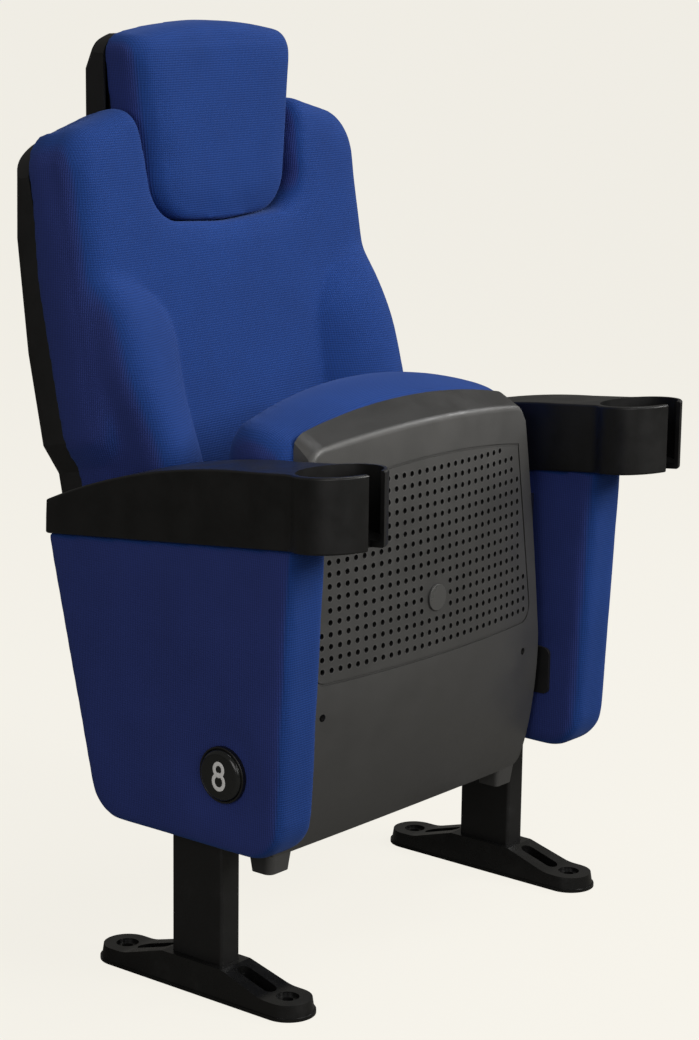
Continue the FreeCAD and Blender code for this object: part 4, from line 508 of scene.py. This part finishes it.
def wrap_over_rim(pad):
    """The cover is drawn over the front edge of the shell along the outer sides of the back."""
    moves = []
    for vertex in pad.data.vertices:
        normal = vertex.normal
        flat = normal - BACK_AHEAD * normal.dot(BACK_AHEAD)
        outside = flat.x * math.copysign(1, vertex.co.x)
        from_foot = vertex.co - BACK_FOOT
        ahead = from_foot.dot(BACK_AHEAD)
        share = eased(outside, *WRAP_FACING) * eased(abs(vertex.co.x), *WRAP_OUTSIDE)
        out = flat.normalized() * WRAP_OUT * (1 - eased(ahead, *WRAP_OUT_AHEAD))
        low = 1 - eased(from_foot.dot(BACK_UP), *WRAP_TOP)
        back = BACK_AHEAD * WRAP_BACK * low * (1 - eased(ahead, *WRAP_BACK_AHEAD))
        moves.append((out - back) * share if share > 0 else None)
    for vertex, move in zip(pad.data.vertices, moves):
        if move is not None:
            vertex.co += move


def make_back_pad(fabric):
    pad = copy_of("back_cushion", "back_pad")
    stuff(pad, BACK_SWELL, BACK_VOXEL)
    soften(pad, "bolster_corner", bolster_corner, CORNER_ROUNDS)
    wrap_over_rim(pad)
    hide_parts("back_cushion")
    finish_piece(pad, "frame", fabric)


def make_head_pad(fabric):
    pad = copy_of("headrest_cushion", "head_pad")
    stuff(pad, HEAD_SWELL, HEAD_VOXEL)
    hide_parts("headrest_cushion")
    finish_piece(pad, "frame", fabric)


# Side panels: a block cut to the slanting outline, rolled edges, then stuffed.

DISC_FACE_X = -0.332
DISC_Y = -0.105
DISC_Z = 0.282
DISC_SEAT = 0.038
BLOCK_HALF = 0.18
PANEL_HALF = 0.032
PANEL_X = 0.290
PANEL_BOTTOM = 0.187
PANEL_FRONT_LOW = -0.184
PANEL_FRONT_TOP = -0.2024
PANEL_REAR_LOW = 0.101
PANEL_REAR_TOP = 0.179
PANEL_TOP_FRONT = 0.5562
PANEL_TOP_REAR = 0.5167
PANEL_FRONT_CORNER = 0.052
PANEL_REAR_CORNER = 0.040
CORNER_CUT = 0.9
CORNER_STEPS = 8
PANEL_ROLL = 0.012
ROLL_STEPS = 5
ARM_FRONT = -0.295
ARM_REAR = 0.179
ARM_FRONT_LOW = 0.566
ARM_REAR_LOW = 0.517
ARM_SLOPE = (ARM_FRONT_LOW - ARM_REAR_LOW) / (ARM_REAR - ARM_FRONT)
ARM_GAP = 0.0005
SAME_PLACE = 0.0001
SAME_SIDE = 0.00001
BELOW_ARM = 0.004
UPRIGHT_RISE = 0.05


def arm_underside(y):
    return ARM_REAR_LOW + (ARM_REAR - y) * ARM_SLOPE


def shape_side_panel():
    bpy.ops.object.select_all(action="DESELECT")
    bpy.ops.mesh.primitive_cube_add(size=1, location=(-PANEL_X, 0, 2 * BLOCK_HALF))
    panel = bpy.context.object
    panel.name = "left_side_pad"
    panel.scale = (2 * PANEL_HALF, 2 * BLOCK_HALF, 2 * BLOCK_HALF)
    settle(panel)
    bpy.ops.object.mode_set(mode="EDIT")
    block_low = BLOCK_HALF
    block_high = 3 * BLOCK_HALF

    def at(vertex, y, z):
        return abs(vertex.co.y - y) < SAME_PLACE and abs(vertex.co.z - z) < SAME_PLACE

    corners = (
        (-BLOCK_HALF, block_low, PANEL_FRONT_LOW, PANEL_BOTTOM),
        (-BLOCK_HALF, block_high, PANEL_FRONT_TOP, PANEL_TOP_FRONT),
        (BLOCK_HALF, block_low, PANEL_REAR_LOW, PANEL_BOTTOM),
        (BLOCK_HALF, block_high, PANEL_REAR_TOP, PANEL_TOP_REAR),
    )
    for was_y, was_z, y, z in corners:
        pick(panel, "VERT", lambda vertex: at(vertex, was_y, was_z))
        bpy.ops.transform.translate(value=(0, y - was_y, z - was_z))
    lower_corners = (
        (PANEL_FRONT_LOW, PANEL_FRONT_CORNER),
        (PANEL_REAR_LOW, PANEL_REAR_CORNER),
    )
    for y, radius in lower_corners:
        pick(panel, "EDGE", lambda edge: all(at(vertex, y, PANEL_BOTTOM) for vertex in edge.verts))
        bpy.ops.mesh.bevel(offset=radius * CORNER_CUT, segments=CORNER_STEPS)

    def on_rim(edge):
        first, second = edge.verts
        on_face = abs(first.co.x - second.co.x) < SAME_SIDE
        low = min(arm_underside(v.co.y) - v.co.z for v in edge.verts) > BELOW_ARM
        return on_face and (low or abs(first.co.z - second.co.z) > UPRIGHT_RISE)

    pick(panel, "EDGE", on_rim)
    bpy.ops.mesh.bevel(offset=PANEL_ROLL, segments=ROLL_STEPS)
    bpy.ops.object.mode_set(mode="OBJECT")
    return panel


def keep_under_arm(pad):
    """Keep the top of the pad just under the armrest."""
    for vertex in pad.data.vertices:
        vertex.co.z = min(vertex.co.z, arm_underside(vertex.co.y) - ARM_GAP)


def press_round_disc(pad):
    """Draw the outer face of the left pad in where the number disc is fixed on it."""
    for vertex in pad.data.vertices:
        away = math.hypot(vertex.co.y - DISC_Y, vertex.co.z - DISC_Z)
        share = eased(away, DISC_SEAT, 2 * DISC_SEAT)
        proud = -vertex.co.x - PANEL_X - PANEL_HALF
        if proud > 0:
            vertex.co.x += proud * (1 - share)


def make_side_pads(fabric):
    left = shape_side_panel()
    stuff(left, SIDE_SWELL)
    keep_under_arm(left)
    right = left.copy()
    right.data = left.data.copy()
    right.name = "right_side_pad"
    scene.collection.objects.link(right)
    only(right)
    bpy.ops.object.mode_set(mode="EDIT")
    bpy.ops.mesh.select_all(action="SELECT")
    bpy.ops.transform.mirror(
        constraint_axis=(True, False, False),
        orient_type="GLOBAL",
        center_override=(0, 0, 0),
    )
    bpy.ops.mesh.normals_make_consistent(inside=False)
    bpy.ops.object.mode_set(mode="OBJECT")
    press_round_disc(left)
    for pad, node in ((left, "left_panel_cover"), (right, "right_panel_cover")):
        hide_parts(node)
        finish_piece(pad, "frame", fabric)


# Number on the disc: a plain figure eight of two flattened rings, each with its lift and radius.

FIGURE_STROKE = 0.0052
FIGURE_RINGS = ((0.0074, 0.0070), (-0.0070, 0.0085))
FIGURE_FLATTENING = (1, 0.92, 0.12)


def make_figure(paint):
    made = []
    for lift, radius in FIGURE_RINGS:
        bpy.ops.object.select_all(action="DESELECT")
        bpy.ops.mesh.primitive_torus_add(
            major_radius=radius,
            minor_radius=FIGURE_STROKE / 2,
            major_segments=48,
            minor_segments=8,
            location=(DISC_FACE_X, DISC_Y, DISC_Z + lift),
            rotation=(0, math.pi / 2, 0),
        )
        ring = bpy.context.object
        ring.scale = FIGURE_FLATTENING
        settle(ring)
        made.append(ring)
    only(made[0])
    made[1].select_set(True)
    bpy.ops.object.join()
    figure = bpy.context.object
    figure.name = "seat_figure"
    finish_piece(figure, "frame", paint)


# Round rims of the perforations in the seat pan

PAN_BELT_Y = -0.157
PAN_BELT_Z = 0.365
PAN_TOP_Y = -0.145
PAN_RIDGE = 0.651
PAN_BOW = 0.015
PAN_BOW_SPAN = 0.200
FIELD_LOW = 0.366
FIELD_HIGH = 0.607
FIELD_LOW_HALF = 0.214
FIELD_HIGH_HALF = 0.186
FIELD_MARGIN = 0.010
HOLE_PITCH = 0.014
HOLE_SIDE = 0.0064
RIDGE_FALL = 0.017
RIDGE_SPAN = 0.180
SHORT_ROW = 0.8
MEDALLION_Z = 0.436
MEDALLION_RADIUS = 0.016
RIM_SIDES = 12
RIM_OUTER = 0.00475
# Painted shade: from this radius inwards the rim is black, so the hole looks wider and dark.
SHADE_RING_EDGE = 0.0036
RIM_INNER = 0.0032
RIM_DEPTH = 0.0033
RIM_PROUD = 0.00025
PAST_EDGE = 0.0001


def hole_centres():
    """Places of the perforations across the field, left out round the medallion."""
    centres = []
    rows = int((FIELD_HIGH - FIELD_LOW - 2 * FIELD_MARGIN) // HOLE_PITCH) + 1
    first = (FIELD_HIGH + FIELD_LOW - (rows - 1) * HOLE_PITCH) / 2
    for row in range(rows):
        z = first + row * HOLE_PITCH
        share = (z - FIELD_LOW) / (FIELD_HIGH - FIELD_LOW)
        reach = FIELD_LOW_HALF + (FIELD_HIGH_HALF - FIELD_LOW_HALF) * share - FIELD_MARGIN
        fall = RIDGE_FALL * (reach / RIDGE_SPAN) ** 2
        if z > FIELD_HIGH - FIELD_MARGIN - fall:
            reach *= SHORT_ROW
        steps = int(reach // HOLE_PITCH)
        for step in range(-steps, steps + 1):
            x = step * HOLE_PITCH
            if math.hypot(x, z - MEDALLION_Z) > MEDALLION_RADIUS + HOLE_SIDE:
                centres.append((x, z))
    return centres


def pan_surface(x, z):
    """Depth of the pan's front face, which is round across and leans back evenly."""
    radius = (PAN_BOW_SPAN ** 2 + PAN_BOW ** 2) / (2 * PAN_BOW)
    lean = (PAN_TOP_Y - PAN_BELT_Y) / (PAN_RIDGE - PAN_BELT_Z)
    return PAN_BELT_Y + (z - PAN_BELT_Z) * lean + radius - math.sqrt(radius ** 2 - x ** 2)


def spread_over_pan(name, points, faces, plastic):
    """One small form repeated at every perforation, laid on the round front of the pan."""
    all_points = []
    all_faces = []
    for x, z in hole_centres():
        start = len(all_points)
        for point in points:
            px = point.x + x
            pz = point.z + z
            all_points.append((px, pan_surface(px, pz) + point.y - RIM_PROUD, pz))
        all_faces.extend(tuple(index + start for index in face) for face in faces)
    mesh = bpy.data.meshes.new(name)
    mesh.from_pydata(all_points, [], all_faces)
    made = bpy.data.objects.new(name, mesh)
    scene.collection.objects.link(made)
    only(made)
    bpy.ops.object.mode_set(mode="EDIT")
    bpy.ops.mesh.select_all(action="SELECT")
    bpy.ops.mesh.delete_loose()
    bpy.ops.object.mode_set(mode="OBJECT")
    finish_piece(made, "seat", plastic, smooth=False)


def make_hole_rims(plastic, dark):
    """Model one rim, then lay at every perforation its flat ring, painted paler as a highlight, and
    its inner ring and wall, painted black as shade.
    """
    bpy.ops.object.select_all(action="DESELECT")
    bpy.ops.mesh.primitive_circle_add(
        vertices=RIM_SIDES,
        radius=RIM_OUTER,
        fill_type="NGON",
        rotation=(math.pi / 2, 0, 0),
    )
    rim = bpy.context.object
    settle(rim)
    bpy.ops.object.mode_set(mode="EDIT")
    bpy.ops.mesh.select_all(action="SELECT")
    bpy.ops.mesh.inset(thickness=RIM_OUTER - SHADE_RING_EDGE, depth=0)
    bpy.ops.mesh.inset(thickness=SHADE_RING_EDGE - RIM_INNER, depth=0)
    bpy.ops.mesh.extrude_region_move(TRANSFORM_OT_translate={"value": (0, RIM_DEPTH, 0)})
    bpy.ops.mesh.delete(type="FACE")
    bpy.ops.object.mode_set(mode="OBJECT")
    points = [vertex.co.copy() for vertex in rim.data.vertices]
    flat = []
    painted_shade_faces = []
    for face in rim.data.polygons:
        corners = tuple(face.vertices)
        outer = max(math.hypot(points[index].x, points[index].z) for index in corners)
        # The outer flat ring takes the painted highlight; the inner ring and the wall take the
        # painted shade.
        (flat if outer > SHADE_RING_EDGE + PAST_EDGE else painted_shade_faces).append(corners)
    bpy.data.objects.remove(rim)
    spread_over_pan("pan_hole_rims", points, flat, plastic)
    spread_over_pan("pan_hole_painted_shade", points, painted_shade_faces, dark)


# Studio

CREAM = (0.905, 0.880, 0.812)
FLOOR_SIZE = 400
FLOOR_BOUNCE = (0.16, 0.155, 0.14)
PAPER_GLOW = 1.033
GLOW_SHARE = 0.92
WORLD_LIGHT = 0.16
SEAT_MIDDLE = (0, 0, 0.6)
SIDE_MIDDLE = (0, 0, 0.5)


def add_floor():
    """Paper floor: the camera sees it pale, and the seat gets a dimmer bounce from it."""
    bpy.ops.object.select_all(action="DESELECT")
    bpy.ops.mesh.primitive_plane_add(size=FLOOR_SIZE, location=(0, 0, 0))
    floor = bpy.context.object
    floor.name = "studio_floor"
    material, tree, paper = new_material("studio_paper")
    paper.inputs["Base Color"].default_value = (*CREAM, 1)
    paper.inputs["Roughness"].default_value = 0.9
    paper.inputs["Specular IOR Level"].default_value = 0.0
    glow = tree.nodes.new("ShaderNodeEmission")
    glow.inputs["Color"].default_value = (*CREAM, 1)
    glow.inputs["Strength"].default_value = PAPER_GLOW
    pale = tree.nodes.new("ShaderNodeMixShader")
    pale.inputs["Fac"].default_value = GLOW_SHARE
    link(tree, paper.outputs["BSDF"], pale.inputs[1])
    link(tree, glow.outputs["Emission"], pale.inputs[2])
    dim = tree.nodes.new("ShaderNodeBsdfDiffuse")
    dim.inputs["Color"].default_value = (*FLOOR_BOUNCE, 1)
    path = tree.nodes.new("ShaderNodeLightPath")
    mix = tree.nodes.new("ShaderNodeMixShader")
    link(tree, path.outputs["Is Camera Ray"], mix.inputs["Fac"])
    link(tree, dim.outputs["BSDF"], mix.inputs[1])
    link(tree, pale.outputs["Shader"], mix.inputs[2])
    link(tree, mix.outputs["Shader"], tree.nodes["Material Output"].inputs["Surface"])
    floor.data.materials.append(material)


def add_world():
    """Cream backdrop for the camera, and a dimmer light of the same colour on the seat."""
    world = bpy.data.worlds.new("studio")
    scene.world = world
    world.use_nodes = True
    tree = world.node_tree
    backdrop = tree.nodes["Background"]
    backdrop.inputs["Color"].default_value = (*CREAM, 1)
    path = tree.nodes.new("ShaderNodeLightPath")
    seen = maths(tree, "MAXIMUM", path.outputs["Is Camera Ray"], path.outputs["Is Transmission Ray"])
    strength = ramp(tree, seen, 0, 1, low_out=WORLD_LIGHT, high_out=1.0)
    link(tree, strength, backdrop.inputs["Strength"])


def add_lamp(name, place, aim, size, power, colour=(1, 1, 1)):
    data = bpy.data.lights.new(name, "AREA")
    data.shape = "SQUARE"
    data.size = size
    data.energy = power
    data.color = colour
    lamp = bpy.data.objects.new(name, data)
    scene.collection.objects.link(lamp)
    lamp.location = place
    lamp.rotation_euler = (Vector(aim) - Vector(place)).to_track_quat("-Z", "Y").to_euler()


# Finishes of the CAD pieces and of the new ones

blue = woven_upholstery(
    "royal_blue_weave",
    deep=(0.0032, 0.019, 0.102),
    bright=(0.0116, 0.059, 0.284),
    # Painted shade: violet copies of the colour for surfaces facing sideways.
    shade_violet_deep=(0.0110, 0.020, 0.098),
    shade_violet_bright=(0.0360, 0.060, 0.280),
)
arm_black = moulded_plastic("armrest_black", (0.006, 0.006, 0.006), (0.010, 0.010, 0.010), 0.38)
shell_black = moulded_plastic("shell_black", (0.006, 0.006, 0.006), (0.011, 0.011, 0.011), 0.55)
pan_grey = pan_plastic("pan_charcoal", (0.050, 0.050, 0.049), (0.064, 0.063, 0.061), 0.42)
foot_black = painted_steel("foot_black_paint", (0.005, 0.005, 0.005), (0.012, 0.012, 0.012), 0.24)
column_black = painted_steel("column_black_paint", (0.006, 0.006, 0.006), (0.012, 0.012, 0.012), 0.42)
disc_black = moulded_plastic(
    "disc_black",
    (0.012, 0.013, 0.013),
    (0.020, 0.021, 0.020),
    gloss=0.16,
    grain=2500,
    depth=0.00003,
)
steel = bare_steel("oiled_steel", (0.22, 0.22, 0.23), 0.4)
screw_steel = bare_steel("screw_steel", (0.42, 0.42, 0.43), 0.32)
rubber = moulded_plastic("stop_rubber", (0.012, 0.012, 0.012), (0.02, 0.02, 0.02), 0.8)
bush_white = moulded_plastic("bush_white", (0.6, 0.6, 0.57), (0.72, 0.72, 0.68), 0.4)
ply = stained_plywood("stained_ply")
# Painted highlight: the flat rings round the perforations are paler than the pan, standing in for
# bright hole edges.
rim_highlight_grey = pan_plastic("pan_rim_painted_highlight", (0.070, 0.070, 0.069), (0.088, 0.087, 0.085), 0.36)
figure_white = moulded_plastic("figure_white", (0.86, 0.86, 0.85), (0.94, 0.94, 0.93), 0.5)
medallion_grey = moulded_plastic("medallion_grey", (0.070, 0.070, 0.068), (0.086, 0.086, 0.084), 0.30)
# Painted shade: black for the inner rings and walls of the perforations.
hole_painted_shade = moulded_plastic("hole_painted_shade", (0.003, 0.003, 0.003), (0.005, 0.005, 0.005), 0.7)
black_steel = bare_steel("blackened_steel", (0.05, 0.05, 0.05), 0.45)

FINISHES = {
    "foot_paint": foot_black,
    "column_paint": column_black,
    "arm_plastic": arm_black,
    "shell_plastic": shell_black,
    "pivot_plastic": shell_black,
    "pan_plastic": pan_grey,
    "side_fabric": blue,
    "seat_fabric": blue,
    "board_wood": ply,
    "steel": steel,
    "screw_steel": screw_steel,
    "sleeve_rubber": rubber,
    "bush_plastic": bush_white,
    "disc_plastic": disc_black,
    "bezel_plastic": arm_black,
}
SPECIAL_FINISHES = {"pan_medallion": medallion_grey, "pan_screws": black_steel}

for part in frame["record"]["subparts"]:
    node = nodes[part["node"]]
    node.data.materials.clear()
    node.data.materials.append(SPECIAL_FINISHES.get(part["node"], FINISHES[part["material_slot"]]))

add_camera()
add_floor()
add_world()
add_lamp("key", (0.6, -3.3, 2.5), SEAT_MIDDLE, size=1.5, power=92, colour=(1.0, 0.985, 0.96))
add_lamp("front_left", (-1.9, -3.0, 1.5), SEAT_MIDDLE, size=1.3, power=12)
add_lamp("fill", (-3.0, -0.9, 1.5), SIDE_MIDDLE, size=1.5, power=18, colour=(1.0, 0.97, 0.97))
add_lamp("right", (2.6, -1.1, 2.4), SEAT_MIDDLE, size=1.2, power=36)
add_lamp("top", (0.3, -0.2, 3.4), SEAT_MIDDLE, size=1.6, power=20)

make_seat_pad(blue)
make_back_pad(blue)
make_head_pad(blue)
make_side_pads(blue)
make_figure(figure_white)
make_hole_rims(rim_highlight_grey, hole_painted_shade)
